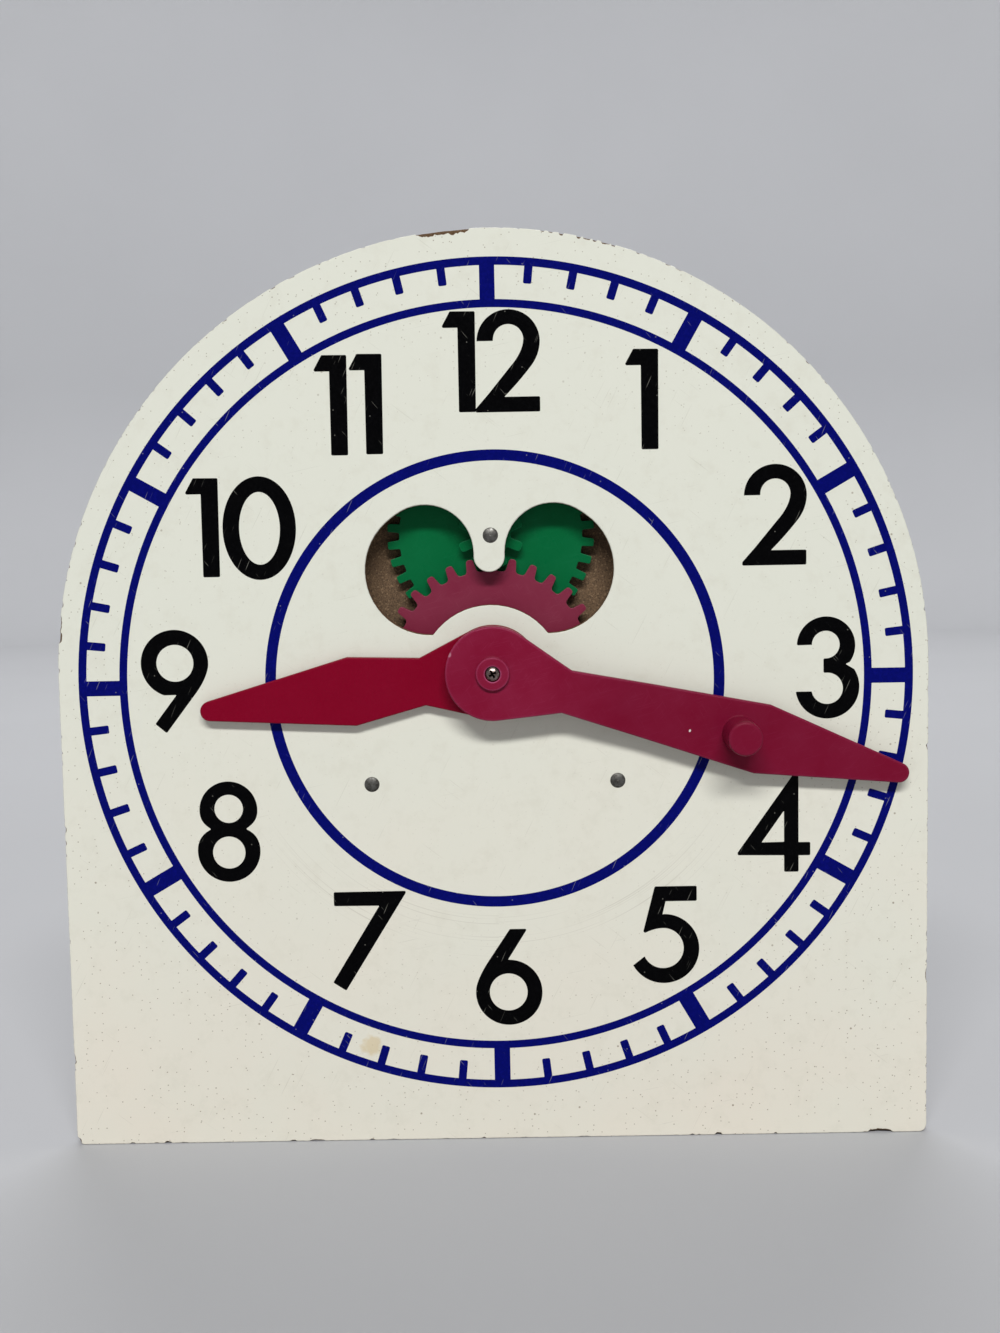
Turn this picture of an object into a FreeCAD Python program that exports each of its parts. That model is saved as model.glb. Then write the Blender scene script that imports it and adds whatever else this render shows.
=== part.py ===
import FreeCAD, Part
import Sketcher
import math
import os

# Geared teaching clock: a hardboard dial with two plastic hands and a window onto the gear train
# that keeps them in step. Millimetres. X runs to the right across the dial, Y goes through it from
# front to back and Z is up. The origin is the middle of the dial's bottom edge, halfway through
# its thickness.

Vector = FreeCAD.Vector
document = FreeCAD.newDocument("TeachingClock")

# ---------------------------------------------------------------------------- driving sizes

SIZES = [
    # dial board
    ("board_width", 324.0, "dial board, side to side"),
    ("board_height", 341.0, "dial board, bottom edge to the top of its arch"),
    ("board_thickness", 6.35, "quarter-inch hardboard"),
    ("board_corner", 3.0, "rounding of the two bottom corners"),
    # window in the dial board, measured from the hands' axis
    ("window_shift", 0.6, "the window sits this far to the left of the axis"),
    ("lobe_radius", 24.0, "round outer end of each half of the window"),
    ("lobe_offset", 22.05, "centre of a lobe, out from the window's middle"),
    ("lobe_rise", 37.8, "centre of a lobe above the axis"),
    ("shoulder_radius", 18.0, "curve from a lobe's top down to the tongue"),
    ("shoulder_flat", 2.2, "short straight between a lobe and its shoulder"),
    ("tongue_width", 11.5, "tongue that covers the idler's pivot"),
    ("tongue_end", 36.85, "lowest point of the tongue above the axis"),
    ("sill_radius", 26.5, "round sill under the window"),
    ("sill_rise", 24.61, "top of the sill above the axis"),
    # back plate
    ("plate_side_margin", 19.0, "back plate beside the side rivets"),
    ("plate_lower_margin", 18.2, "back plate below the side rivets"),
    ("plate_upper_margin", 46.6, "back plate above the top rivet"),
    ("plate_thickness", 3.2, "eighth-inch hardboard"),
    ("plate_corner", 6.0, "rounding of the back plate's corners"),
    # depths between the board and the back plate
    ("board_gap", 0.6, "board to the hour gear"),
    ("gear_thickness", 3.2, "each layer of gears"),
    ("layer_gap", 0.6, "front layer to rear layer"),
    ("plate_gap", 1.1, "rear layer to the back plate"),
    ("running_gap", 0.3, "end play beside anything that turns"),
    ("bearing_clearance", 0.08, "radial play of a turning fit"),
    ("seat_clearance", 0.05, "play round a hand or a rivet on its seat"),
    # gear train
    ("gear_centres", 50.4, "axis to the idler's pivot, straight above it"),
    ("hour_teeth", 32, "hour gear"),
    ("idler_pinion_teeth", 8, "small gear of the idler, drives the hour gear"),
    ("idler_wheel_teeth", 36, "large gear of the idler"),
    ("minute_teeth", 12, "minute pinion, drives the idler"),
    ("tooth_backlash", 1.4, "free play between teeth along the pitch circle"),
    ("root_clearance", 1.0, "tooth tip to the floor of the gap it enters"),
    ("hour_addendum", 1.68, "tooth height over the pitch circle"),
    ("hour_tooth", 3.0, "tooth thickness at the pitch circle"),
    ("hour_flank", 14.0, "degrees that a tooth gap opens to each side"),
    ("hour_root_round", 1.4, "rounding in the gap's corners"),
    ("hour_tip_round", 1.1, "rounding of the tooth's corners"),
    ("idler_pinion_addendum", 2.32, "tooth height over the pitch circle"),
    ("idler_pinion_flank", 22.5, "degrees that a tooth gap opens to each side"),
    ("idler_pinion_root_round", 0.8, "rounding in the gap's corners"),
    ("idler_pinion_tip_round", 1.2, "rounding of the tooth's corners"),
    ("idler_wheel_addendum", 1.1, "tooth height over the pitch circle"),
    ("idler_wheel_tooth", 3.0, "tooth thickness at the pitch circle"),
    ("idler_wheel_flank", 7.0, "degrees that a tooth gap opens to each side"),
    ("idler_wheel_root_round", 0.6, "rounding in the gap's corners"),
    ("idler_wheel_tip_round", 0.7, "rounding of the tooth's corners"),
    ("minute_addendum", 2.4, "tooth height over the pitch circle"),
    ("minute_flank", 20.0, "degrees that a tooth gap opens to each side"),
    ("minute_root_round", 0.8, "rounding in the gap's corners"),
    ("minute_tip_round", 0.8, "rounding of the tooth's corners"),
    # shafts on the axis
    ("arbor_radius", 4.0, "minute arbor"),
    ("arbor_square", 5.6, "square seat of the minute hand"),
    ("arbor_square_round", 0.6, "rounding of that seat's edges"),
    ("pivot_radius", 3.5, "rear pivot of the minute arbor"),
    ("sleeve_radius", 7.0, "hour sleeve, outside"),
    ("sleeve_square", 11.0, "square seat of the hour hand"),
    ("sleeve_square_round", 2.5, "rounding of that seat's edges"),
    ("thrust_radius", 8.0, "rear thrust washer, outside"),
    ("hub_boss_radius", 8.0, "idler's rear boss, outside"),
    # hands
    ("hand_thickness", 3.2, "hour hand, and the minute hand at its hub"),
    ("hand_edge_round", 0.5, "rounding round the front of a hand"),
    ("hand_hub_radius", 17.4, "round hub of both hands"),
    ("hand_tip_radius", 3.7, "round tip of both hands"),
    ("hour_hand_angle", 263.05, "where the hour hand points, degrees clockwise from 12"),
    ("hour_hand_length", 109.5, "axis to tip"),
    ("hour_waist_reach", 26.2, "axis to the narrow place beside the hub"),
    ("hour_waist_width", 17.7, "width there"),
    ("hour_shoulder_reach", 52.8, "axis to the widest place of the blade"),
    ("hour_shoulder_width", 25.7, "width there"),
    ("hour_washer_radius", 12.0, "friction washer behind the hour hand"),
    ("hour_washer_thickness", 0.7, "friction washer, front to back"),
    ("minute_hand_angle", 104.9, "where the minute hand points, degrees clockwise from 12"),
    ("minute_hand_length", 158.8, "axis to tip"),
    ("minute_waist_reach", 28.0, "axis to the narrow place beside the hub"),
    ("minute_waist_width", 16.0, "width there"),
    ("minute_shoulder_reach", 102.5, "axis to the widest place of the blade"),
    ("minute_shoulder_width", 26.2, "width there"),
    ("crank_reach", 20.0, "axis to where the minute hand bends towards the dial"),
    ("blade_reach", 60.0, "axis to where it bends back and runs out to the tip"),
    ("crank_round", 40.0, "inside of both bends"),
    ("blade_clearance", 0.7, "minute hand to the hour hand's front, at the second bend"),
    ("blade_thickness", 3.1, "minute hand at the second bend"),
    ("tip_thickness", 1.3, "minute hand at its tip"),
    ("minute_washer_radius", 9.0, "spacer between the hands"),
    ("minute_washer_thickness", 3.6, "spacer between the hands, front to back"),
    ("knob_reach", 93.8, "axis to the finger knob on the minute hand"),
    ("knob_radius", 6.6, "finger knob at its foot"),
    ("knob_root", 1.0, "knob's foot inside the blade, in front of the second bend's back"),
    ("knob_height", 14.7, "knob's end, in front of the hub's back"),
    ("knob_taper", 1.3, "degrees that the knob narrows to each side"),
    ("knob_round", 0.9, "rounding of its end"),
    ("boss_radius", 6.13, "raised boss round the screw"),
    ("boss_height", 1.5, "in front of the hand"),
    ("boss_round", 0.4, "rounding of its rim"),
    ("screw_recess_depth", 1.2, "counterbore in the boss"),
    ("screw_recess_play", 0.3, "counterbore round the screw's head"),
    ("screw_web", 1.2, "hand left between the counterbore and the arbor's seat"),
    # hand screw
    ("screw_head_radius", 2.6, "pan head, centre to edge"),
    ("screw_head_height", 1.7, "pan head, middle of its dome"),
    ("screw_head_edge", 0.8, "pan head, upright edge"),
    ("screw_radius", 1.5, "shank"),
    ("screw_length", 9.0, "shank under the head"),
    ("screw_slot_length", 3.0, "cross recess, tip to tip"),
    ("screw_slot_width", 0.8, "cross recess, across one arm"),
    ("screw_slot_round", 0.2, "cross recess, corners of an arm"),
    ("screw_slot_depth", 0.9, "cross recess, front to floor"),
    # rivets that hold the back plate
    ("side_rivet_offset", 46.0, "side rivets, out from the axis"),
    ("side_rivet_drop", 41.8, "side rivets, below the axis"),
    ("rivet_radius", 1.6, "shank"),
    ("rivet_head_radius", 2.85, "head"),
    ("rivet_head_height", 0.6, "domed head in front of the board"),
    ("rivet_tail_radius", 2.6, "clinched end behind the back plate"),
    ("rivet_tail_height", 1.0, "clinched end, narrowing to the shank's radius"),
    ("burr_radius", 4.2, "washer under each clinched end"),
    ("burr_thickness", 0.8, "that washer, front to back"),
    ("axle_radius", 5.0, "tube round the top rivet, on which the idler turns"),
    ("spacer_radius", 4.0, "tubes round the side rivets"),
]

sheet = document.addObject("Spreadsheet::Sheet", "Sizes")
for row, (alias, value, meaning) in enumerate(SIZES, start=1):
    sheet.set(f"A{row}", meaning)
    sheet.set(f"B{row}", str(value))
    sheet.setAlias(f"B{row}", alias)
document.recompute()

# ---------------------------------------------------------------------------- derived places

# Expressions over the sheet's cells. Bodies and sketches are bound to them as they stand.
AXIS_HEIGHT = "Sizes.board_height - Sizes.board_width / 2"
BOARD_BACK = "Sizes.board_thickness / 2"
BOARD_FRONT = "-Sizes.board_thickness / 2"

FRONT_LAYER_BACK = f"{BOARD_BACK} + Sizes.board_gap + Sizes.gear_thickness"
REAR_LAYER_BACK = f"{FRONT_LAYER_BACK} + Sizes.layer_gap + Sizes.gear_thickness"
PLATE_FRONT = f"{REAR_LAYER_BACK} + Sizes.plate_gap"
PLATE_BACK = f"{PLATE_FRONT} + Sizes.plate_thickness"
CAGE_DEPTH = "Sizes.board_gap + 2 * Sizes.gear_thickness + Sizes.layer_gap + Sizes.plate_gap"

HOUR_HAND_BACK = f"{BOARD_FRONT} - Sizes.hour_washer_thickness - Sizes.running_gap"
MINUTE_WASHER_BACK = f"{HOUR_HAND_BACK} - Sizes.hand_thickness - Sizes.running_gap"
MINUTE_HAND_BACK = f"{MINUTE_WASHER_BACK} - Sizes.minute_washer_thickness"

# How far the minute hand's back lies behind the back of its hub: at the tip it is level with the
# hour hand's front, which doesn't reach so far, and at the second bend it is just clear of it.
TIP_DROP = "(Sizes.minute_washer_thickness + Sizes.running_gap)"
BLADE_DROP = f"({TIP_DROP} - Sizes.blade_clearance)"

SCREW_SEAT_HEIGHT = "Sizes.hand_thickness + Sizes.boss_height - Sizes.screw_recess_depth"
SCREW_SEAT = f"{MINUTE_HAND_BACK} - ({SCREW_SEAT_HEIGHT})"
SOCKET_DEPTH = f"{SCREW_SEAT_HEIGHT} - Sizes.screw_web"

FRONT_MODULE = "2 * Sizes.gear_centres / (Sizes.hour_teeth + Sizes.idler_pinion_teeth)"
REAR_MODULE = "2 * Sizes.gear_centres / (Sizes.idler_wheel_teeth + Sizes.minute_teeth)"


def number(expression):
    """The present value of an expression over the sheet."""
    return float(sheet.evalExpression(str(expression)))


# ---------------------------------------------------------------------------- sketches

# A sketch that cuts material away reaches this far past it.
OVERSHOOT = 1.0

# The rounding of a tooth's corner rises this little over the tip circle before the gap's side
# leaves it, so that the two meet at a clear angle.
TIP_RISE = 0.02


class Profile:
    """A sketch on one of its body's own planes, with its dimensions bound to the sheet."""

    def __init__(self, body, name, plane="XZ_Plane", lift="0", turn="0"):
        origin_plane = next(part for part in body.Origin.OriginFeatures if part.Role == plane)
        self.sketch = body.newObject("Sketcher::SketchObject", name)
        self.sketch.AttachmentSupport = [(origin_plane, "")]
        self.sketch.MapMode = "FlatFace"
        self.sketch.setExpression("AttachmentOffset.Base.z", lift)
        self.sketch.setExpression("AttachmentOffset.Rotation.Angle", turn)

    def relate(self, kind, *references):
        self.sketch.addConstraint(Sketcher.Constraint(kind, *references))

    def measure(self, kind, *references, size, unit=""):
        value = number(size)
        value = math.radians(value) if unit else value
        index = self.sketch.addConstraint(Sketcher.Constraint(kind, *references, value))
        self.sketch.setExpression(f"Constraints[{index}]", f"({size}){unit}")

    def offset(self, kind, axis, geometry, point, size):
        """Hold a point at a signed distance from the sketch's vertical or horizontal axis."""
        value = number(size)
        if abs(value) < 1e-9:
            self.relate("PointOnObject", geometry, point, axis)
        elif value > 0:
            self.measure(kind, -1, 1, geometry, point, size=size)
        else:
            self.measure(kind, geometry, point, -1, 1, size=f"-({size})")

    def place(self, geometry, point, x, y):
        self.offset("DistanceX", -2, geometry, point, x)
        self.offset("DistanceY", -1, geometry, point, y)

    def line(self, start, end):
        return self.sketch.addGeometry(Part.LineSegment(start, end))

    def arc(self, centre, radius, start, end):
        """Counter-clockwise arc between two points that lie on its circle."""
        first = math.atan2(start.y - centre.y, start.x - centre.x)
        last = math.atan2(end.y - centre.y, end.x - centre.x)
        while last <= first:
            last += 2 * math.pi
        circle = Part.Circle(centre, Vector(0, 0, 1), radius)
        return self.sketch.addGeometry(Part.ArcOfCircle(circle, first, last))

    def circle(self, radius, x="0", y="0"):
        centre = Vector(number(x), number(y), 0)
        geometry = self.sketch.addGeometry(Part.Circle(centre, Vector(0, 0, 1), number(radius)))
        self.place(geometry, 3, x, y)
        self.measure("Radius", geometry, size=radius)
        return self.sketch

    def belt(self, wheels):
        """Closed outline drawn counter-clockwise, like a belt round a row of wheels.

        Each wheel is (x, y, radius): a positive radius is a rounded corner that bulges out of
        the outline, a negative one is a hollow and 0 is a sharp corner. Straight runs join them.
        """
        centres = [Vector(number(x), number(y), 0) for x, y, radius in wheels]
        radii = [number(radius) for x, y, radius in wheels]
        starts, ends = [None] * len(wheels), [None] * len(wheels)
        for here in range(len(wheels)):
            ahead = (here + 1) % len(wheels)
            run = centres[ahead] - centres[here]
            lean = math.acos((radii[ahead] - radii[here]) / run.Length)
            heading = math.atan2(run.y, run.x) + lean
            left = Vector(math.cos(heading), math.sin(heading), 0)
            ends[here] = centres[here] - left * radii[here]
            starts[ahead] = centres[ahead] - left * radii[ahead]
        corners = []
        for (x, y, radius), centre, bend, start, end in zip(wheels, centres, radii, starts, ends):
            if bend == 0:
                corners.append(None)
                continue
            arc = self.arc(centre, abs(bend), *((start, end) if bend > 0 else (end, start)))
            self.place(arc, 3, x, y)
            self.measure("Radius", arc, size=radius if bend > 0 else f"-({radius})")
            corners.append((arc, 1, 2) if bend > 0 else (arc, 2, 1))
        runs = [self.line(ends[here], starts[(here + 1) % len(wheels)])
                for here in range(len(wheels))]
        for here, corner in enumerate(corners):
            if corner is None:
                self.relate("Coincident", runs[here - 1], 2, runs[here], 1)
                self.place(runs[here], 1, wheels[here][0], wheels[here][1])
            else:
                arc, first, last = corner
                self.relate("Tangent", runs[here - 1], 2, arc, first)
                self.relate("Tangent", arc, last, runs[here], 1)
        return self.sketch

    def rounded_box(self, left, right, bottom, top, corner):
        inner_left, inner_right = f"{left} + {corner}", f"{right} - {corner}"
        inner_bottom, inner_top = f"{bottom} + {corner}", f"{top} - {corner}"
        return self.belt([
            (inner_left, inner_bottom, corner),
            (inner_right, inner_bottom, corner),
            (inner_right, inner_top, corner),
            (inner_left, inner_top, corner),
        ])

    def rounded_square(self, width, corner):
        half = f"({width}) / 2"
        return self.rounded_box(f"-{half}", half, f"-{half}", half, corner)

    def turned(self, points):
        """Closed half profile of a turned piece, drawn counter-clockwise beside the vertical axis.

        Each point is (radius, height, edge), where edge says how the outline goes on from it:
        "straight", or "dome" for an arc that is centred on the axis.
        """
        spots = [Vector(number(x), number(y), 0) for x, y, edge in points]
        edges = []
        for here, (x, y, edge) in enumerate(points):
            start, end = spots[here], spots[(here + 1) % len(spots)]
            if edge == "dome":
                height = (start.Length ** 2 - end.Length ** 2) / (2 * (start.y - end.y))
                centre = Vector(0, height, 0)
                edges.append(self.arc(centre, (start - centre).Length, start, end))
                self.relate("PointOnObject", edges[-1], 3, -2)
            else:
                edges.append(self.line(start, end))
        for here, (x, y, edge) in enumerate(points):
            self.relate("Coincident", edges[here - 1], 2, edges[here], 1)
            self.place(edges[here], 1, x, y)
        return self.sketch

    def tooth_gap(self, tip_radius, root_radius, pitch_radius, gap_width, flank, root_round,
                  tip_round):
        """Space between two teeth, centred on the sketch's vertical axis.

        A flat floor, two straight flanks that open outward by the flank angle and pass the
        pitch circle gap_width apart, rounded floor corners and rounded tooth corners.
        """
        angle = math.radians(number(flank))
        tip, root, pitch = number(tip_radius), number(root_radius), number(pitch_radius)
        hollow, crest, half_gap = number(root_round), number(tip_round), number(gap_width) / 2
        floor = half_gap - (pitch - root) * math.tan(angle)
        floor -= hollow * math.tan(math.pi / 4 - angle / 2)
        along = Vector(math.sin(angle), math.cos(angle), 0)
        into_tooth = Vector(math.cos(angle), -math.sin(angle), 0)
        hollow_centre = Vector(floor, root + hollow, 0)
        foot = hollow_centre + into_tooth * hollow
        aim = foot + into_tooth * crest
        rise = aim.dot(along)
        reach = math.sqrt(rise ** 2 - aim.dot(aim) + (tip + TIP_RISE - crest) ** 2) - rise
        head, crest_centre = foot + along * reach, aim + along * reach
        outward = crest_centre * (1 / crest_centre.Length)
        rim = outward * (tip + TIP_RISE)
        free = outward * ((tip + OVERSHOOT) / outward.y)

        def mirrored(point, side):
            return Vector(side * point.x, point.y, 0)

        base = self.line(Vector(-floor, root, 0), Vector(floor, root, 0))
        escapes = []
        for side in (1, -1):
            spots = [mirrored(point, side) for point in
                     (Vector(floor, root, 0), hollow_centre, foot, head, crest_centre, rim, free)]
            corner, centre, foot_spot, head_spot, crest_spot, rim_spot, free_spot = spots
            if side > 0:
                hollow_arc = self.arc(centre, hollow, corner, foot_spot)
                crest_arc = self.arc(crest_spot, crest, rim_spot, head_spot)
                hollow_ends, crest_ends = (1, 2), (2, 1)
            else:
                hollow_arc = self.arc(centre, hollow, foot_spot, corner)
                crest_arc = self.arc(crest_spot, crest, head_spot, rim_spot)
                hollow_ends, crest_ends = (2, 1), (1, 2)
            flank_line = self.line(foot_spot, head_spot)
            escape = self.line(rim_spot, free_spot)
            escapes.append(escape)
            self.relate("Tangent", base, 2 if side > 0 else 1, hollow_arc, hollow_ends[0])
            self.relate("Tangent", hollow_arc, hollow_ends[1], flank_line, 1)
            self.relate("Tangent", flank_line, 2, crest_arc, crest_ends[0])
            self.relate("Perpendicular", crest_arc, crest_ends[1], escape, 1)
            self.relate("PointOnObject", -1, 1, escape)
            self.measure("Radius", hollow_arc, size=root_round)
            self.measure("Radius", crest_arc, size=tip_round)
            self.offset("DistanceY", -1, hollow_arc, 3, f"{root_radius} + {root_round}")
            self.measure("Distance", -1, 1, crest_arc, 3,
                         size=f"{tip_radius} + {TIP_RISE} - {tip_round}")
            self.offset("DistanceY", -1, escape, 2, f"{tip_radius} + {OVERSHOOT}")
            pitch_point = self.sketch.addGeometry(Part.Point(Vector(side * half_gap, pitch, 0)))
            self.sketch.setConstruction(pitch_point, True)
            self.place(pitch_point, 1, f"{side} * ({gap_width}) / 2", pitch_radius)
            self.relate("PointOnObject", pitch_point, 1, flank_line)
            lean = f"90 - {flank}" if side > 0 else f"90 + {flank}"
            self.measure("Angle", flank_line, size=lean, unit=" * 1 deg")
        lid = self.line(mirrored(free, 1), mirrored(free, -1))
        self.relate("Coincident", escapes[0], 2, lid, 1)
        self.relate("Coincident", lid, 2, escapes[1], 2)
        return self.sketch


# ---------------------------------------------------------------------------- features


def new_body(label, y, z=AXIS_HEIGHT, x="0", turn=None):
    """Sub-part whose own origin lies at the given place of the clock."""
    body = document.addObject("PartDesign::Body", label)
    body.Label = label
    if turn is not None:
        body.Placement = FreeCAD.Placement(
            Vector(), FreeCAD.Rotation(Vector(0, 1, 0), number(turn)))
        body.setExpression("Placement.Rotation.Angle", turn)
    body.setExpression("Placement.Base.x", x)
    body.setExpression("Placement.Base.y", y)
    body.setExpression("Placement.Base.z", z)
    return body


def pad(body, sketch, length, backward=False, both_ways=False, taper="0"):
    """Material from the sketch towards the clock's front, towards its back or both ways."""
    feature = body.newObject("PartDesign::Pad", "Pad")
    feature.Profile = sketch
    feature.Reversed = backward
    if both_ways:
        feature.SideType = "Symmetric"
    feature.setExpression("Length", length)
    feature.setExpression("TaperAngle", taper)
    document.recompute()
    return feature


def pocket(body, sketch, depth=None, forward=True):
    """Cut from the sketch towards the front or the back, or right through without a depth."""
    feature = body.newObject("PartDesign::Pocket", "Pocket")
    feature.Profile = sketch
    if depth is None:
        feature.Type = "ThroughAll"
        feature.SideType = "Symmetric"
    else:
        feature.Reversed = forward
        feature.setExpression("Length", depth)
    document.recompute()
    return feature


def revolve(body, sketch):
    feature = body.newObject("PartDesign::Revolution", "Revolution")
    feature.Profile = sketch
    feature.ReferenceAxis = (sketch, ["V_Axis"])
    feature.Angle = 360
    document.recompute()
    return feature


def repeat_round(body, feature, count, angle=360):
    """Copies of a feature round the normal of its own sketch."""
    pattern = body.newObject("PartDesign::PolarPattern", "PolarPattern")
    pattern.Originals = [feature]
    pattern.Axis = (feature.Profile[0], ["N_Axis"])
    pattern.Angle = angle
    pattern.setExpression("Occurrences", count)
    body.Tip = pattern
    document.recompute()
    return pattern


def looks_forward(face):
    """Whether the middle of a face looks towards the clock's front."""
    first_u, last_u, first_v, last_v = face.ParameterRange
    return face.normalAt((first_u + last_u) / 2, (first_v + last_v) / 2).y < -0.9


def round_front(body, feature, radius, rearmost):
    """Fillet the rim of the faces that look forward and lie no further back than given."""
    depth = number(rearmost)
    fronts = [face for face in feature.Shape.Faces
              if looks_forward(face) and face.BoundBox.YMax < depth + 1e-3]
    names = []
    for index, edge in enumerate(feature.Shape.Edges, start=1):
        sharing = [face for face in fronts if any(edge.isSame(rim) for rim in face.Edges)]
        if len(sharing) == 1:
            names.append(f"Edge{index}")
    fillet = body.newObject("PartDesign::Fillet", "Fillet")
    fillet.Base = (feature, names)
    fillet.setExpression("Radius", radius)
    document.recompute()
    return fillet


# ---------------------------------------------------------------------------- gears

PITCH_RADIUS = "({module}) * Sizes.{gear}_teeth / 2"


def gear_teeth(body, gear, mate, module, thickness, lift="0", turn="0"):
    """Blank, one tooth gap and its pattern, for one of a meshing pair.

    A tooth's thickness at the pitch circle is set on the wheel of each pair; its mate's tooth is
    what the backlash leaves of the pitch. The gaps are as deep as the mate's teeth and the root
    clearance need. Turn puts a gap in place of a tooth on the vertical, or the other way about.
    """
    pitch_radius = PITCH_RADIUS.format(module=module, gear=gear)
    tip_radius = f"{pitch_radius} + Sizes.{gear}_addendum"
    mate_tip_radius = f"{PITCH_RADIUS.format(module=module, gear=mate)} + Sizes.{mate}_addendum"
    root_radius = f"Sizes.gear_centres - ({mate_tip_radius}) - Sizes.root_clearance"
    if f"{gear}_tooth" in [alias for alias, value, meaning in SIZES]:
        gap_width = f"pi * {module} - Sizes.{gear}_tooth"
    else:
        gap_width = f"Sizes.{mate}_tooth + Sizes.tooth_backlash"
    blank = Profile(body, f"{gear}_blank", lift=lift).circle(tip_radius)
    pad(body, blank, thickness)
    gap = Profile(body, f"{gear}_gap", lift=lift, turn=turn).tooth_gap(
        tip_radius, root_radius, pitch_radius, gap_width, f"Sizes.{gear}_flank",
        f"Sizes.{gear}_root_round", f"Sizes.{gear}_tip_round")
    return repeat_round(body, pocket(body, gap, thickness, forward=True), f"Sizes.{gear}_teeth")


def half_pitch(gear):
    """Turn that puts a tooth where a gap would be."""
    return f"180 / Sizes.{gear}_teeth"


# ---------------------------------------------------------------------------- boards


def dial_board():
    """Arched dial with the window onto the gears and the holes for the sleeve and rivets."""
    body = new_body("dial_board", BOARD_BACK, z="0")
    half_width = "Sizes.board_width / 2"
    corner = "Sizes.board_corner"
    outline = Profile(body, "outline").belt([
        (f"-{half_width} + {corner}", corner, corner),
        (f"{half_width} - {corner}", corner, corner),
        ("0", AXIS_HEIGHT, half_width),
    ])
    pad(body, outline, "Sizes.board_thickness")

    # The window: two round lobes, each with a shoulder that runs into the side of the tongue.
    middle = "-Sizes.window_shift"
    lobe_height = f"{AXIS_HEIGHT} + Sizes.lobe_rise"
    shoulder_offset = "(Sizes.shoulder_radius + Sizes.tongue_width / 2)"
    shoulder_height = (
        f"{lobe_height} + sqrt((Sizes.lobe_radius - Sizes.shoulder_radius) ^ 2"
        f" + Sizes.shoulder_flat ^ 2 - ({shoulder_offset} - Sizes.lobe_offset) ^ 2)")
    tongue_radius = "Sizes.tongue_width / 2"
    window = Profile(body, "window").belt([
        (f"{middle} - Sizes.lobe_offset", lobe_height, "Sizes.lobe_radius"),
        (f"{middle} + Sizes.lobe_offset", lobe_height, "Sizes.lobe_radius"),
        (f"{middle} + {shoulder_offset}", shoulder_height, "Sizes.shoulder_radius"),
        (middle, f"{AXIS_HEIGHT} + Sizes.tongue_end + {tongue_radius}", f"-{tongue_radius}"),
        (f"{middle} - {shoulder_offset}", shoulder_height, "Sizes.shoulder_radius"),
    ])
    pocket(body, window)

    # The round sill stands up into the window between the lobes.
    sill_height = f"{AXIS_HEIGHT} + Sizes.sill_rise - Sizes.sill_radius"
    sill = Profile(body, "sill").circle("Sizes.sill_radius", middle, sill_height)
    pad(body, sill, "Sizes.board_thickness")

    bore = Profile(body, "sleeve_bore")
    pocket(body, bore.circle("Sizes.sleeve_radius + Sizes.bearing_clearance", "0", AXIS_HEIGHT))
    rivet_holes(body, AXIS_HEIGHT)
    return body


def back_plate():
    """Flat rear cover of the gears, which carries the arbor's rear pivot."""
    body = new_body("back_plate", PLATE_BACK)
    half_width = "(Sizes.side_rivet_offset + Sizes.plate_side_margin)"
    bottom = "-(Sizes.side_rivet_drop + Sizes.plate_lower_margin)"
    top = "Sizes.gear_centres + Sizes.plate_upper_margin"
    outline = Profile(body, "outline").rounded_box(
        f"-{half_width}", half_width, bottom, top, "Sizes.plate_corner")
    pad(body, outline, "Sizes.plate_thickness")
    bore = Profile(body, "pivot_bore").circle("Sizes.pivot_radius + Sizes.bearing_clearance")
    pocket(body, bore)
    rivet_holes(body, "0")
    return body


# Each rivet: name, place across the dial and height from the axis.
RIVETS = [
    ("top", "0", "Sizes.gear_centres"),
    ("left", "-Sizes.side_rivet_offset", "-Sizes.side_rivet_drop"),
    ("right", "Sizes.side_rivet_offset", "-Sizes.side_rivet_drop"),
]


def rivet_holes(body, axis_height):
    for name, x, rise in RIVETS:
        hole = Profile(body, f"{name}_rivet_hole")
        pocket(body, hole.circle("Sizes.rivet_radius + Sizes.seat_clearance", x,
                                 f"{axis_height} + {rise}"))


# ---------------------------------------------------------------------------- rivets and tubes


def ring(label, outer, inner, length, y, x="0", rise="0"):
    """Plain washer or tube, its rear face at depth y."""
    body = new_body(label, y, z=f"{AXIS_HEIGHT} + {rise}", x=x)
    pad(body, Profile(body, "outside").circle(outer), length)
    pocket(body, Profile(body, "inside").circle(inner))
    return body


def rivet(name, x, rise):
    """Domed head on the dial, shank through board, tube and plate, clinched tail behind."""
    body = new_body(f"{name}_rivet", BOARD_FRONT, z=f"{AXIS_HEIGHT} + {rise}", x=x)
    grip = (f"Sizes.board_thickness + {CAGE_DEPTH} + Sizes.plate_thickness"
            " + Sizes.burr_thickness")
    revolve(body, Profile(body, "half_section", plane="XY_Plane").turned([
        ("0", "-Sizes.rivet_head_height", "dome"),
        ("Sizes.rivet_head_radius", "0", "straight"),
        ("Sizes.rivet_radius", "0", "straight"),
        ("Sizes.rivet_radius", grip, "straight"),
        ("Sizes.rivet_tail_radius", grip, "straight"),
        ("Sizes.rivet_radius", f"{grip} + Sizes.rivet_tail_height", "straight"),
        ("0", f"{grip} + Sizes.rivet_tail_height", "straight"),
    ]))
    return body


def rivet_set():
    bore = "Sizes.rivet_radius + Sizes.seat_clearance"
    burr_back = f"{PLATE_BACK} + Sizes.burr_thickness"
    for name, x, rise in RIVETS:
        rivet(name, x, rise)
        ring(f"{name}_burr", "Sizes.burr_radius", bore, "Sizes.burr_thickness", burr_back, x, rise)
        tube = "idler_axle" if name == "top" else f"{name}_spacer"
        outer = "Sizes.axle_radius" if name == "top" else "Sizes.spacer_radius"
        ring(tube, outer, bore, CAGE_DEPTH, PLATE_FRONT, x, rise)


# ---------------------------------------------------------------------------- gear train


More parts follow.
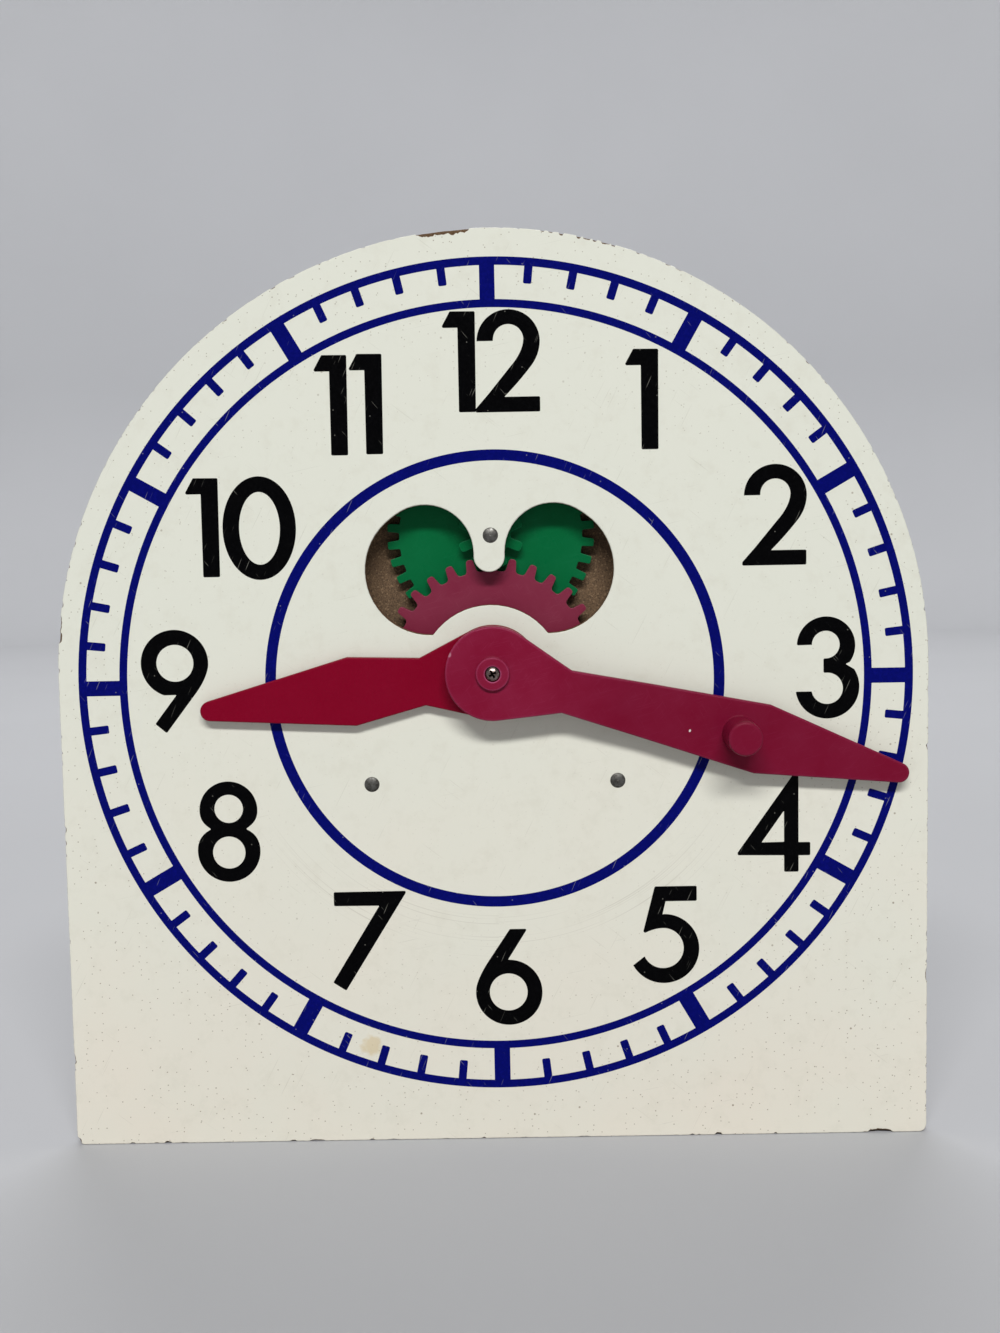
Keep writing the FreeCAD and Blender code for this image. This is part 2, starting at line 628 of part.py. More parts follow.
def hour_gear():
    """Hour gear with the sleeve that comes through the dial and carries the hour hand."""
    body = new_body("hour_gear", FRONT_LAYER_BACK)
    gear_teeth(body, "hour", "idler_pinion", FRONT_MODULE, "Sizes.gear_thickness",
               turn=half_pitch("hour"))
    sleeve_length = (
        "Sizes.gear_thickness + Sizes.board_gap + Sizes.board_thickness"
        " + Sizes.hour_washer_thickness + Sizes.running_gap")
    pad(body, Profile(body, "sleeve").circle("Sizes.sleeve_radius"), sleeve_length)
    seat = Profile(body, "hand_seat", lift=sleeve_length, turn="90 - Sizes.hour_hand_angle")
    pad(body, seat.rounded_square("Sizes.sleeve_square", "Sizes.sleeve_square_round"),
        "Sizes.hand_thickness")
    bore = Profile(body, "arbor_bore").circle("Sizes.arbor_radius + Sizes.bearing_clearance")
    pocket(body, bore)
    return body


def idler_gear():
    """Large and small gear in one moulding, turning on the tube round the top rivet."""
    body = new_body("idler_gear", REAR_LAYER_BACK, z=f"{AXIS_HEIGHT} + Sizes.gear_centres")
    gear_teeth(body, "idler_wheel", "minute", REAR_MODULE, "Sizes.gear_thickness", turn="180")
    pinion_length = "Sizes.layer_gap + Sizes.gear_thickness"
    gear_teeth(body, "idler_pinion", "hour", FRONT_MODULE, pinion_length,
               lift="Sizes.gear_thickness", turn="180")
    boss = Profile(body, "rear_boss").circle("Sizes.hub_boss_radius")
    pad(body, boss, "Sizes.plate_gap - Sizes.running_gap", backward=True)
    bore = Profile(body, "axle_bore").circle("Sizes.axle_radius + Sizes.bearing_clearance")
    pocket(body, bore)
    return body


def minute_gear():
    """Minute pinion on its arbor, with a rear pivot and a square front end for the hand."""
    body = new_body("minute_gear", REAR_LAYER_BACK)
    gear_teeth(body, "minute", "idler_wheel", REAR_MODULE, "Sizes.gear_thickness",
               turn=half_pitch("minute"))
    arbor_length = f"{REAR_LAYER_BACK} - ({MINUTE_HAND_BACK})"
    pad(body, Profile(body, "arbor").circle("Sizes.arbor_radius"), arbor_length)
    seat = Profile(body, "hand_seat", lift=arbor_length, turn="90 - Sizes.minute_hand_angle")
    pad(body, seat.rounded_square("Sizes.arbor_square", "Sizes.arbor_square_round"),
        f"{SOCKET_DEPTH} - Sizes.running_gap")
    pivot = Profile(body, "rear_pivot").circle("Sizes.pivot_radius")
    pad(body, pivot, "Sizes.plate_gap + Sizes.plate_thickness", backward=True)
    screw_end = f"{REAR_LAYER_BACK} - ({SCREW_SEAT}) - Sizes.screw_length - Sizes.running_gap"
    pilot = Profile(body, "screw_pilot", lift=screw_end)
    pocket(body, pilot.circle("Sizes.screw_radius + Sizes.seat_clearance"), "Sizes.screw_length")
    return body


# ---------------------------------------------------------------------------- hands


def hand_outline(profile, name):
    """Round hub, narrow waist, broad shoulder and a long taper to a small tip."""
    waist = (f"Sizes.{name}_waist_reach", f"Sizes.{name}_waist_width / 2")
    shoulder = (f"Sizes.{name}_shoulder_reach", f"Sizes.{name}_shoulder_width / 2")
    return profile.belt([
        ("0", "0", "Sizes.hand_hub_radius"),
        (waist[0], f"-{waist[1]}", "0"),
        (shoulder[0], f"-{shoulder[1]}", "0"),
        (f"Sizes.{name}_hand_length - Sizes.hand_tip_radius", "0", "Sizes.hand_tip_radius"),
        (shoulder[0], shoulder[1], "0"),
        (waist[0], waist[1], "0"),
    ])


def hour_hand():
    """Flat hour hand with the rounded square hole for the sleeve."""
    body = new_body("hour_hand", HOUR_HAND_BACK, turn="Sizes.hour_hand_angle - 90")
    blank = pad(body, hand_outline(Profile(body, "outline"), "hour"), "Sizes.hand_thickness")
    round_front(body, blank, "Sizes.hand_edge_round", "-Sizes.hand_thickness")
    seat = Profile(body, "sleeve_seat")
    pocket(body, seat.rounded_square("Sizes.sleeve_square + 2 * Sizes.seat_clearance",
                                     "Sizes.sleeve_square_round"))
    return body


def cranked_blade(body):
    """Side view of the minute hand, made as wide as the hub and then cut to the outline.

    Beyond the hub the hand bends towards the dial, bends back just clear of the hour hand and
    thins out to its tip.
    """
    bend = "Sizes.crank_round"
    blade_bend = f"({bend} + Sizes.blade_thickness)"
    start = f"-(Sizes.hand_hub_radius + {OVERSHOOT})"
    end = f"Sizes.minute_hand_length + {OVERSHOOT}"
    side_view = Profile(body, "side_view", plane="XY_Plane").belt([
        (start, "-Sizes.hand_thickness", "0"),
        ("Sizes.crank_reach", bend, f"{bend} + Sizes.hand_thickness"),
        ("Sizes.blade_reach", f"{BLADE_DROP} - {blade_bend}", f"-{bend}"),
        (end, f"{TIP_DROP} - Sizes.tip_thickness", "0"),
        (end, TIP_DROP, "0"),
        ("Sizes.blade_reach", f"{BLADE_DROP} - {blade_bend}", blade_bend),
        ("Sizes.crank_reach", bend, f"-{bend}"),
        (start, "0", "0"),
    ])
    side = f"(Sizes.hand_hub_radius + {OVERSHOOT})"
    pad(body, side_view, f"2 * {side}", both_ways=True)
    waste = Profile(body, "waste_round_outline")
    waste.rounded_box(f"{start} - {OVERSHOOT}", f"{end} + {OVERSHOOT}", f"-{side} - {OVERSHOOT}",
                      f"{side} + {OVERSHOOT}", "0")
    return pocket(body, hand_outline(waste, "minute"))


def minute_hand():
    """Minute hand with its finger knob and the boss round the screw, all one moulding."""
    body = new_body("minute_hand", MINUTE_HAND_BACK, turn="Sizes.minute_hand_angle - 90")
    round_front(body, cranked_blade(body), "Sizes.hand_edge_round", TIP_DROP)
    boss_front = "Sizes.hand_thickness + Sizes.boss_height"
    boss = pad(body, Profile(body, "boss").circle("Sizes.boss_radius"), boss_front)
    round_front(body, boss, "Sizes.boss_round", f"-({boss_front})")
    knob_foot = f"({BLADE_DROP} - Sizes.knob_root)"
    knob_sketch = Profile(body, "knob", lift=f"-{knob_foot}")
    knob = pad(body, knob_sketch.circle("Sizes.knob_radius", "Sizes.knob_reach"),
               f"{knob_foot} + Sizes.knob_height", taper="-Sizes.knob_taper")
    round_front(body, knob, "Sizes.knob_round", "-Sizes.knob_height")
    counterbore = Profile(body, "counterbore", lift=boss_front)
    pocket(body, counterbore.circle("Sizes.screw_head_radius + Sizes.screw_recess_play"),
           "Sizes.screw_recess_depth", forward=False)
    socket = Profile(body, "arbor_socket")
    pocket(body, socket.rounded_square("Sizes.arbor_square + 2 * Sizes.seat_clearance",
                                       "Sizes.arbor_square_round"), SOCKET_DEPTH)
    hole = Profile(body, "screw_hole")
    pocket(body, hole.circle("Sizes.screw_radius + Sizes.seat_clearance"))
    return body


def hand_screw():
    """Pan-head screw with a cross recess that clamps the minute hand on the arbor."""
    body = new_body("hand_screw", SCREW_SEAT)
    revolve(body, Profile(body, "half_section", plane="XY_Plane").turned([
        ("0", "-Sizes.screw_head_height", "dome"),
        ("Sizes.screw_head_radius", "-Sizes.screw_head_edge", "straight"),
        ("Sizes.screw_head_radius", "0", "straight"),
        ("Sizes.screw_radius", "0", "straight"),
        ("Sizes.screw_radius", "Sizes.screw_length", "straight"),
        ("0", "Sizes.screw_length", "straight"),
    ]))
    arm = Profile(body, "cross_arm", lift="Sizes.screw_head_height").rounded_box(
        "-Sizes.screw_slot_length / 2", "Sizes.screw_slot_length / 2",
        "-Sizes.screw_slot_width / 2", "Sizes.screw_slot_width / 2",
        "Sizes.screw_slot_round")
    slot = pocket(body, arm, "Sizes.screw_slot_depth", forward=False)
    repeat_round(body, slot, "2", angle=90)
    return body


# ---------------------------------------------------------------------------- assembly

dial_board()
back_plate()
rivet_set()
hour_gear()
idler_gear()
minute_gear()
hour_hand()
minute_hand()
hand_screw()
ring("hour_washer", "Sizes.hour_washer_radius", "Sizes.sleeve_radius + Sizes.bearing_clearance",
     "Sizes.hour_washer_thickness", BOARD_FRONT)
ring("minute_washer", "Sizes.minute_washer_radius", "Sizes.arbor_radius + Sizes.seat_clearance",
     "Sizes.minute_washer_thickness", MINUTE_WASHER_BACK)
ring("thrust_washer", "Sizes.thrust_radius", "Sizes.pivot_radius + Sizes.bearing_clearance",
     "Sizes.plate_gap - Sizes.running_gap", PLATE_FRONT)
document.recompute()

# ---------------------------------------------------------------------------- check and write


def check_document():
    """Every feature up to date, every pocket a real cut, every sub-part one sound solid."""
    for item in document.Objects:
        if {"Invalid", "Error"} & set(item.State):
            raise RuntimeError(f"{item.Name} of {item.Label} failed: {item.State}")
        if item.TypeId == "PartDesign::Pocket":
            if item.BaseFeature.Shape.Volume - item.Shape.Volume < 1e-3:
                raise RuntimeError(f"{item.Name} cuts nothing")
        if item.TypeId == "PartDesign::Body":
            shape = item.Shape
            if shape.isNull() or not shape.isValid() or len(shape.Solids) != 1:
                raise RuntimeError(f"{item.Label} is not one valid solid")


check_document()
os.makedirs("parts", exist_ok=True)
for item in document.Objects:
    if item.TypeId == "PartDesign::Body":
        item.Shape.exportStep(f"parts/{item.Label}.step")
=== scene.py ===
import math
import random

import bmesh
import bpy
from mathutils import Matrix, Quaternion, Vector, geometry, noise


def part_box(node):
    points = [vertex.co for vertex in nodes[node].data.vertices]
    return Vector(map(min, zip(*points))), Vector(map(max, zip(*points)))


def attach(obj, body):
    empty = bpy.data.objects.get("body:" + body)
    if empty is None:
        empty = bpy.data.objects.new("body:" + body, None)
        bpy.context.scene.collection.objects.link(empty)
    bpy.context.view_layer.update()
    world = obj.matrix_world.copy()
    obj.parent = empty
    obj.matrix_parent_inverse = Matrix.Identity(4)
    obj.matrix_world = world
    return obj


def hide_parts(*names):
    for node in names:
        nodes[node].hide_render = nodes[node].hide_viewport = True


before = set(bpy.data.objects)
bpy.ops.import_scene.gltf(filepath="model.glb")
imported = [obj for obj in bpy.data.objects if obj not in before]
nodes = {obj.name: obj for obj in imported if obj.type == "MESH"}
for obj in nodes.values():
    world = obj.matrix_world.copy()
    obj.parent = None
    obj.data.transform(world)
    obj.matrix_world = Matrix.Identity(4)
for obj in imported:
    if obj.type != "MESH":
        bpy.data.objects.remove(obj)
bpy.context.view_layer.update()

# -------------------------------------------------------------------------------------- dial board
# The dial is a sheet of quarter-inch hardboard, sawn to an arch, with a window routed through it.
# Its front was roller-coated with off-white enamel that laps a little over the sawn edge; where
# the edge was knocked in use, the brown pressed fibre shows in shallow chips.

MM = 0.001                  # one millimetre, in the scene's metres
EDGE_STEP = 0.5             # distance between points along a sawn edge, mm
FRAY_LENGTH = 1.6           # length of one wave of a sawn edge's unevenness, mm
BOARD_FRAYS = (0.22, 0.08)  # depth of that unevenness on the arch and, routed cleaner, the window
NICK_SPACING = 9.0          # one small nick in so many mm of edge
NICK_LENGTHS = (0.4, 0.9)   # half a small nick's length: the least, and what chance adds, mm
NICK_DEPTHS = (0.1, 0.4)    # its depth, likewise
CHIP_SHOWS = (0.12, 0.35)   # nick depths, mm, over which paint gives way to bare fibre
CHIP_REACH = 2.0            # how far behind the front face it does so, mm
SHARP_EDGE = math.radians(30)   # faces that meet at more than this keep a sharp edge

# The larger chips in the arch and its foot: (x, z), half the length and the depth, all in mm.
BOARD_CHIPS = [
    ((-22.2, 339.2), 2.2, 1.3), ((-19.8, 339.5), 1.9, 1.9), ((-15.0, 340.0), 4.5, 1.7),
    ((-11.3, 340.4), 3.0, 2.1), ((-7.8, 340.7), 2.4, 1.5),
    ((20.8, 339.2), 0.8, 0.4), ((23.6, 338.9), 1.1, 0.5), ((27.8, 338.2), 0.9, 0.9),
    ((34.1, 337.0), 0.8, 0.8), ((37.3, 336.3), 1.6, 0.7), ((40.0, 335.7), 0.8, 0.8),
    ((43.6, 335.0), 1.1, 0.9), ((46.8, 334.2), 0.9, 0.7), ((56.0, 331.9), 0.7, 0.5),
    ((71.0, 324.6), 0.8, 0.4), ((-96.0, 309.5), 1.0, 0.5),
    ((-161.5, 194.5), 2.2, 1.4), ((-161.0, 199.5), 3.4, 0.7), ((-161.8, 122.0), 1.2, 0.6),
    ((-161.9, 33.0), 1.4, 0.7), ((-161.5, 1.5), 1.6, 1.0), ((-127.0, 0.0), 1.5, 0.8),
    ((-70.0, 0.0), 3.0, 0.5), ((83.0, 0.0), 1.4, 0.9), ((144.2, 0.0), 4.8, 1.5),
    ((161.9, 61.0), 2.6, 0.6), ((161.9, 148.0), 1.2, 0.6),
]


def round_trip(loop):
    """Length of a closed outline."""
    return sum((b - a).length for a, b in zip(loop, loop[1:] + loop[:1]))


def signed_area(loop):
    """Twice an outline's area, negative where it runs clockwise."""
    return sum(a.x * b.y - b.x * a.y for a, b in zip(loop, loop[1:] + loop[:1]))


def front_outlines(node):
    """The outlines of a board's flat front, the longest first, as (x, z) points in mm."""
    mesh = node.data
    front = min(vertex.co.y for vertex in mesh.vertices)
    spots = [(round(v.co.x / MM, 3), round(v.co.z / MM, 3)) for v in mesh.vertices]
    uses = {}
    for face in mesh.polygons:
        if all(mesh.vertices[i].co.y < front + 1e-6 for i in face.vertices):
            ring = [spots[i] for i in face.vertices]
            for edge in zip(ring, ring[1:] + ring[:1]):
                uses[frozenset(edge)] = uses.get(frozenset(edge), 0) + 1
    beside = {}
    for edge in sorted(tuple(sorted(edge)) for edge, count in uses.items() if count == 1):
        for a, b in (edge, edge[::-1]):
            beside.setdefault(a, []).append(b)
    outlines = []
    while beside:
        loop = [min(beside)]
        ahead = beside.pop(loop[0])
        while any(spot in beside for spot in ahead):
            loop.append(next(spot for spot in ahead if spot in beside))
            ahead = beside.pop(loop[-1])
        outlines.append([Vector(spot) for spot in loop])
    return sorted(outlines, key=round_trip, reverse=True)


def evenly_spaced(loop, step):
    """The same closed outline with its points about a step apart."""
    length = round_trip(loop)
    count = round(length / step)
    points, travelled = [], 0.0
    for a, b in zip(loop, loop[1:] + loop[:1]):
        side = (b - a).length
        while len(points) < count and len(points) * length / count < travelled + side:
            points.append(a.lerp(b, (len(points) * length / count - travelled) / side))
        travelled += side
    return points


def into_material(loop, is_hole):
    """For each point of an outline, the unit vector into what it bounds."""
    side = 1 if (signed_area(loop) > 0) != is_hole else -1
    along = [(b - a).normalized() for a, b in zip(loop[-1:] + loop[:-1], loop[1:] + loop[:1])]
    return [side * Vector((-way.y, way.x)) for way in along]


def nick_depths(loop, chips, draw):
    """How deep the edge is nicked at each point, by the given chips and by small random nicks."""
    length = round_trip(loop)
    step = length / len(loop)
    nicks = [(draw.random() * length,
              NICK_LENGTHS[0] + NICK_LENGTHS[1] * draw.random(),
              NICK_DEPTHS[0] + NICK_DEPTHS[1] * draw.random() ** 2)
             for _ in range(round(length / NICK_SPACING))]
    for middle, half_length, depth in chips:
        nearest = min(range(len(loop)), key=lambda i: (loop[i] - Vector(middle)).length)
        nicks.append((nearest * step, half_length, depth))
    depths = []
    for index, point in enumerate(loop):
        ragged = 0.8 + 0.45 * noise.noise(Vector((point.x, point.y, 7.0)))
        deepest = 0.0
        for place, half_length, depth in nicks:
            gap = abs(index * step - place)
            gap = min(gap, length - gap) / half_length
            deepest = max(deepest, depth * ragged * (1 - gap ** 4))
        depths.append(deepest)
    return depths


def filled(shapes):
    """Points and triangles that fill the shapes, each an outline followed by its holes."""
    points, loops, owners = [], [], []
    for number, shape in enumerate(shapes):
        for place, loop in enumerate(shape):
            turned = loop if signed_area(loop) > 0 else loop[::-1]
            loops.append([len(points) + i for i in range(len(turned))])
            owners.append((number, place > 0))
            points += turned
    made = geometry.delaunay_2d_cdt(points, [], loops, 1, 1e-6)
    triangles = []
    for corners, sources in zip(made[2], made[5]):
        inside = {owners[i][0] for i in sources if not owners[i][1]}
        in_holes = {owners[i][0] for i in sources if owners[i][1]}
        if inside - in_holes:
            triangles.append(corners)
    return made[0], triangles


def placed(name, data):
    """An object with that mesh, lamp or camera, put into the scene."""
    made = bpy.data.objects.new(name, data)
    bpy.context.scene.collection.objects.link(made)
    return made


def finished_piece(name, mesh):
    """An object made of the bmesh, with its faces turned outward."""
    bmesh.ops.remove_doubles(mesh, verts=mesh.verts, dist=1e-7)
    bmesh.ops.recalc_face_normals(mesh, faces=mesh.faces)
    data = bpy.data.meshes.new(name)
    mesh.to_mesh(data)
    mesh.free()
    return placed(name, data)


def sawn_board(name, node_name, frays, chips, seed):
    """A board like the CAD node with uneven, nicked edges, bare fibre being marked as "bare".

    The outlines are roughened in turn, the longest first; a hole past the end of frays stays true.
    Only the outside, which takes the knocks, is nicked.
    """
    front, back = (corner.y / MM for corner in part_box(node_name))
    thickness = back - front
    # Round the edge in rings: depth, inset of the worn corner, shares of the nicks and the fray.
    rings = [(0.0, 0.30, 1.0, 1.0), (0.1, 0.13, 0.97, 1.0), (0.3, 0.0, 0.9, 0.9),
             (0.8, 0.0, 0.62, 0.6), (1.6, 0.0, 0.28, 0.8), (2.6, 0.0, 0.0, 0.6),
             (thickness - 0.3, 0.0, 0.0, 0.8), (thickness, 0.25, 0.0, 1.0)]
    draw = random.Random(seed)
    mesh = bmesh.new()
    bare = mesh.verts.layers.float.new("bare")
    cap_shapes = ([], [])
    for place, outline in enumerate(front_outlines(nodes[node_name])):
        fray = frays[place] if place < len(frays) else 0.0
        loop = evenly_spaced(outline, EDGE_STEP) if fray else outline
        depths = [0.0] * len(loop) if place else nick_depths(loop, chips, draw)
        walls = []
        for depth, corner, nick_share, fray_share in rings:
            wall = []
            for point, inward, nick in zip(loop, into_material(loop, place > 0), depths):
                spot = Vector((point.x, point.y, depth + seed)) / FRAY_LENGTH
                uneven = fray * fray_share * (0.5 + 0.5 * noise.noise(spot))
                inset = corner + max(0.0, uneven) + max(0.0, nick) * nick_share if fray else 0.0
                moved = point + inward * inset
                vertex = mesh.verts.new((moved.x * MM, (front + depth) * MM, moved.y * MM))
                shown = (nick - CHIP_SHOWS[0]) / (CHIP_SHOWS[1] - CHIP_SHOWS[0])
                vertex[bare] = min(1.0, max(0.0, shown)) if 0.0 < depth < CHIP_REACH else 0.0
                wall.append(vertex)
            walls.append(wall)
        for near, far in zip(walls, walls[1:]):
            for side in zip(near, near[1:] + near[:1], far[1:] + far[:1], far):
                mesh.faces.new(side)
        for shape, wall in zip(cap_shapes, (walls[0], walls[-1])):
            shape.append([Vector((vertex.co.x, vertex.co.z)) / MM for vertex in wall])
    for shape, depth in zip(cap_shapes, (front, back)):
        points, triangles = filled([shape])
        corners = [mesh.verts.new((p.x * MM, depth * MM, p.y * MM)) for p in points]
        for triangle in triangles:
            mesh.faces.new([corners[i] for i in triangle])
    piece = finished_piece(name, mesh)
    piece.data.set_sharp_from_angle(angle=SHARP_EDGE)
    for polygon in piece.data.polygons:
        polygon.use_smooth = abs(polygon.normal.y) < 0.999      # all but the two flat faces
    return piece


def linear(hex_colour):
    """An sRGB colour such as "DFE0D3" as the linear RGBA that a shader takes."""
    channels = [int(hex_colour[i:i + 2], 16) / 255 for i in (0, 2, 4)]
    return tuple(c / 12.92 if c <= 0.04045 else ((c + 0.055) / 1.055) ** 2.4
                 for c in channels) + (1.0,)


def add(tree, kind, inputs=None, **settings):
    """A shader node with its settings; each input is set to a value or linked to a node."""
    made = tree.nodes.new("ShaderNode" + kind)
    for name, value in settings.items():
        setattr(made, name, value)
    for key, value in (inputs or {}).items():
        if isinstance(value, bpy.types.Node):
            value = value.outputs[0]
        if isinstance(value, bpy.types.NodeSocket):
            tree.links.new(value, made.inputs[key])
        else:
            made.inputs[key].default_value = value
    return made


def new_material(name, drawn, **steady):
    """A Principled material: what is the same all over, and drawn(tree, spot) for the rest.

    spot is the place on the piece in mm, in the part's own frame, so that a texture's Scale is
    1 / the size in mm of what it draws; drawn gives {socket: node}.
    """
    material = bpy.data.materials.new(name)
    material.use_nodes = True
    tree = material.node_tree
    shader = tree.nodes["Principled BSDF"]
    for key, value in steady.items():
        shader.inputs[key.replace("_", " ")].default_value = value
    place = add(tree, "TexCoord").outputs["Object"]
    spot = add(tree, "VectorMath", {0: place, 1: (1 / MM, 1 / MM, 1 / MM)}, operation="MULTIPLY")
    for socket, node in drawn(tree, spot).items():
        tree.links.new(node.outputs[0], shader.inputs[socket])
    return material


def on_dial(tree, spot):
    """The place (x, z) of a spot on the plane of the dial."""
    axes = add(tree, "SeparateXYZ", {0: spot}).outputs
    return add(tree, "CombineXYZ", {"X": axes["X"], "Y": axes["Z"]})


# Loose flakes of wood in the fibre: spacing in mm, reach as a share of it, strength and colour.
WOOD_FLAKES = [(1.2, 0.34, 0.5, "A08463"), (1.7, 0.34, 0.4, "2A1D13")]


def hardboard(tree, spot, dark, pale):
    """Brown pressed fibre from a dark to a pale colour: its colour, and its relief from 0 to 1."""
    fibre = add(tree, "TexNoise", {"Vector": spot, "Scale": 1 / 0.5, "Detail": 6.0,
                                   "Roughness": 0.75})
    clouds = add(tree, "TexNoise", {"Vector": spot, "Scale": 1 / 25.0, "Detail": 3.0})
    slight = add(tree, "Math", {0: clouds, 1: 0.25}, operation="MULTIPLY")
    both = add(tree, "Math", {0: fibre, 1: slight}, operation="ADD")
    tone = add(tree, "MapRange", {"Value": both, "From Min": 0.48, "From Max": 0.77})
    colour = add(tree, "MixRGB", {0: tone, 1: linear(dark), 2: linear(pale)})
    # Single flakes of pale and of dark wood, torn to shreds about a millimetre long.
    shreds = add(tree, "TexNoise", {"Vector": spot, "Scale": 1 / 0.8, "Detail": 2.0})
    torn = add(tree, "VectorMath", {0: spot, 1: shreds.outputs["Color"]}, operation="ADD")
    for spacing, reach, strength, wood in WOOD_FLAKES:
        flake = add(tree, "TexVoronoi", {"Vector": torn, "Scale": 1 / spacing})
        near = add(tree, "MapRange", {"Value": flake, "From Min": reach, "From Max": reach / 2,
                                      "To Max": strength})
        colour = add(tree, "MixRGB", {0: near, 1: colour, 2: linear(wood)})
    return colour, fibre


SCREEN_PITCH = 2.0          # wires of the pressing screen, drawn a third wider so they show, mm
DIRT_AND_SHADE_BROWN = "2C2014"         # dark brown: dirt in the chips, and painted shade in the screen's hollows


def pressed_back(tree, spot, middle, colour):
    """A board's colour with the print of the wire screen behind, painted darker in its hollows as
    shade, and that print, from -1 to 1.

    middle is how far back the middle of the board's thickness lies, in mm.
    """
    axes = add(tree, "SeparateXYZ", {0: spot}).outputs
    weave = add(tree, "Math", {0: axes["Y"], 1: middle}, operation="GREATER_THAN")
    for axis in ("X", "Z"):
        turns = add(tree, "Math", {0: axes[axis], 1: 2 * math.pi / SCREEN_PITCH},
                    operation="MULTIPLY")
        wires = add(tree, "Math", {0: turns}, operation="SINE")
        weave = add(tree, "Math", {0: weave, 1: wires}, operation="MULTIPLY")
    # The hollows of the weave are drawn darker: painted shade.
    hollow_shade = add(tree, "MapRange", {"Value": weave, "From Min": 0.0, "From Max": -1.0,
                                    "To Max": 0.4})
    return add(tree, "MixRGB", {0: hollow_shade, 1: colour, 2: linear(DIRT_AND_SHADE_BROWN)}), weave


def hair_scratches(tree, flat, kinds):
    """Thin straight scratches, from 0 to 1, on the (x, z) plane flat.

    Each kind has its angle in degrees, its length and width in mm, and its rarity.
    """
    cuts = 0.0
    for angle, length, width, rarity in kinds:
        turned = add(tree, "VectorRotate", {"Vector": flat, "Angle": math.radians(-angle)},
                     rotation_type="Z_AXIS")
        drawn_out = add(tree, "VectorMath", {0: turned, 1: (1 / length, 1 / width, 1.0)},
                        operation="MULTIPLY")
        streaks = add(tree, "TexNoise", {"Vector": drawn_out, "Scale": 1.0, "Detail": 1.0},
                      noise_dimensions="2D")
        more = add(tree, "MapRange", {"Value": streaks, "From Min": rarity,
                                      "From Max": rarity + 0.05})
        cuts = add(tree, "Math", {0: more, 1: cuts}, operation="MAXIMUM")
    return cuts


def specks(tree, flat, spacing, radius, share):
    """Round specks from 0 to 1, in a share of cells of that spacing on the (x, z) plane flat."""
    cells = add(tree, "TexVoronoi", {"Vector": flat, "Scale": 1 / spacing},
                voronoi_dimensions="2D")
    near = add(tree, "MapRange", {"Value": cells, "From Min": 1.2 * radius / spacing,
                                  "From Max": 0.7 * radius / spacing})
    lot = add(tree, "SeparateXYZ", {0: cells.outputs["Color"]})
    chosen = add(tree, "Math", {0: lot, 1: 1 - share}, operation="GREATER_THAN")
    return add(tree, "Math", {0: near, 1: chosen}, operation="MULTIPLY")


PRINT_CENTRE = Vector((0.5, 175.5))     # the printed dial was centred here on the board, mm
BOARD_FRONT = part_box("dial_board")[0].y / MM
PAINT_LAP = (0.25, 0.8)                 # how far the enamel laps over the sawn edge, mm
NOISE_MEAN = 0.5                        # about which a noise texture's value wanders
STAIN = (-48.5, 37.3)                   # a yellowed spot below the 7, mm

# Specks of dirt: spacing of the cells that they fall in and radius, in mm, and share of cells.
PAINT_SPECKS = [(3.0, 0.2, 0.3), (6.0, 0.24, 0.2), (15.0, 0.4, 0.16)]
PAINT_SCRATCHES = [(63.0, 26.0, 0.5, 0.80), (-38.0, 26.0, 0.5, 0.81), (12.0, 26.0, 0.5, 0.81)]


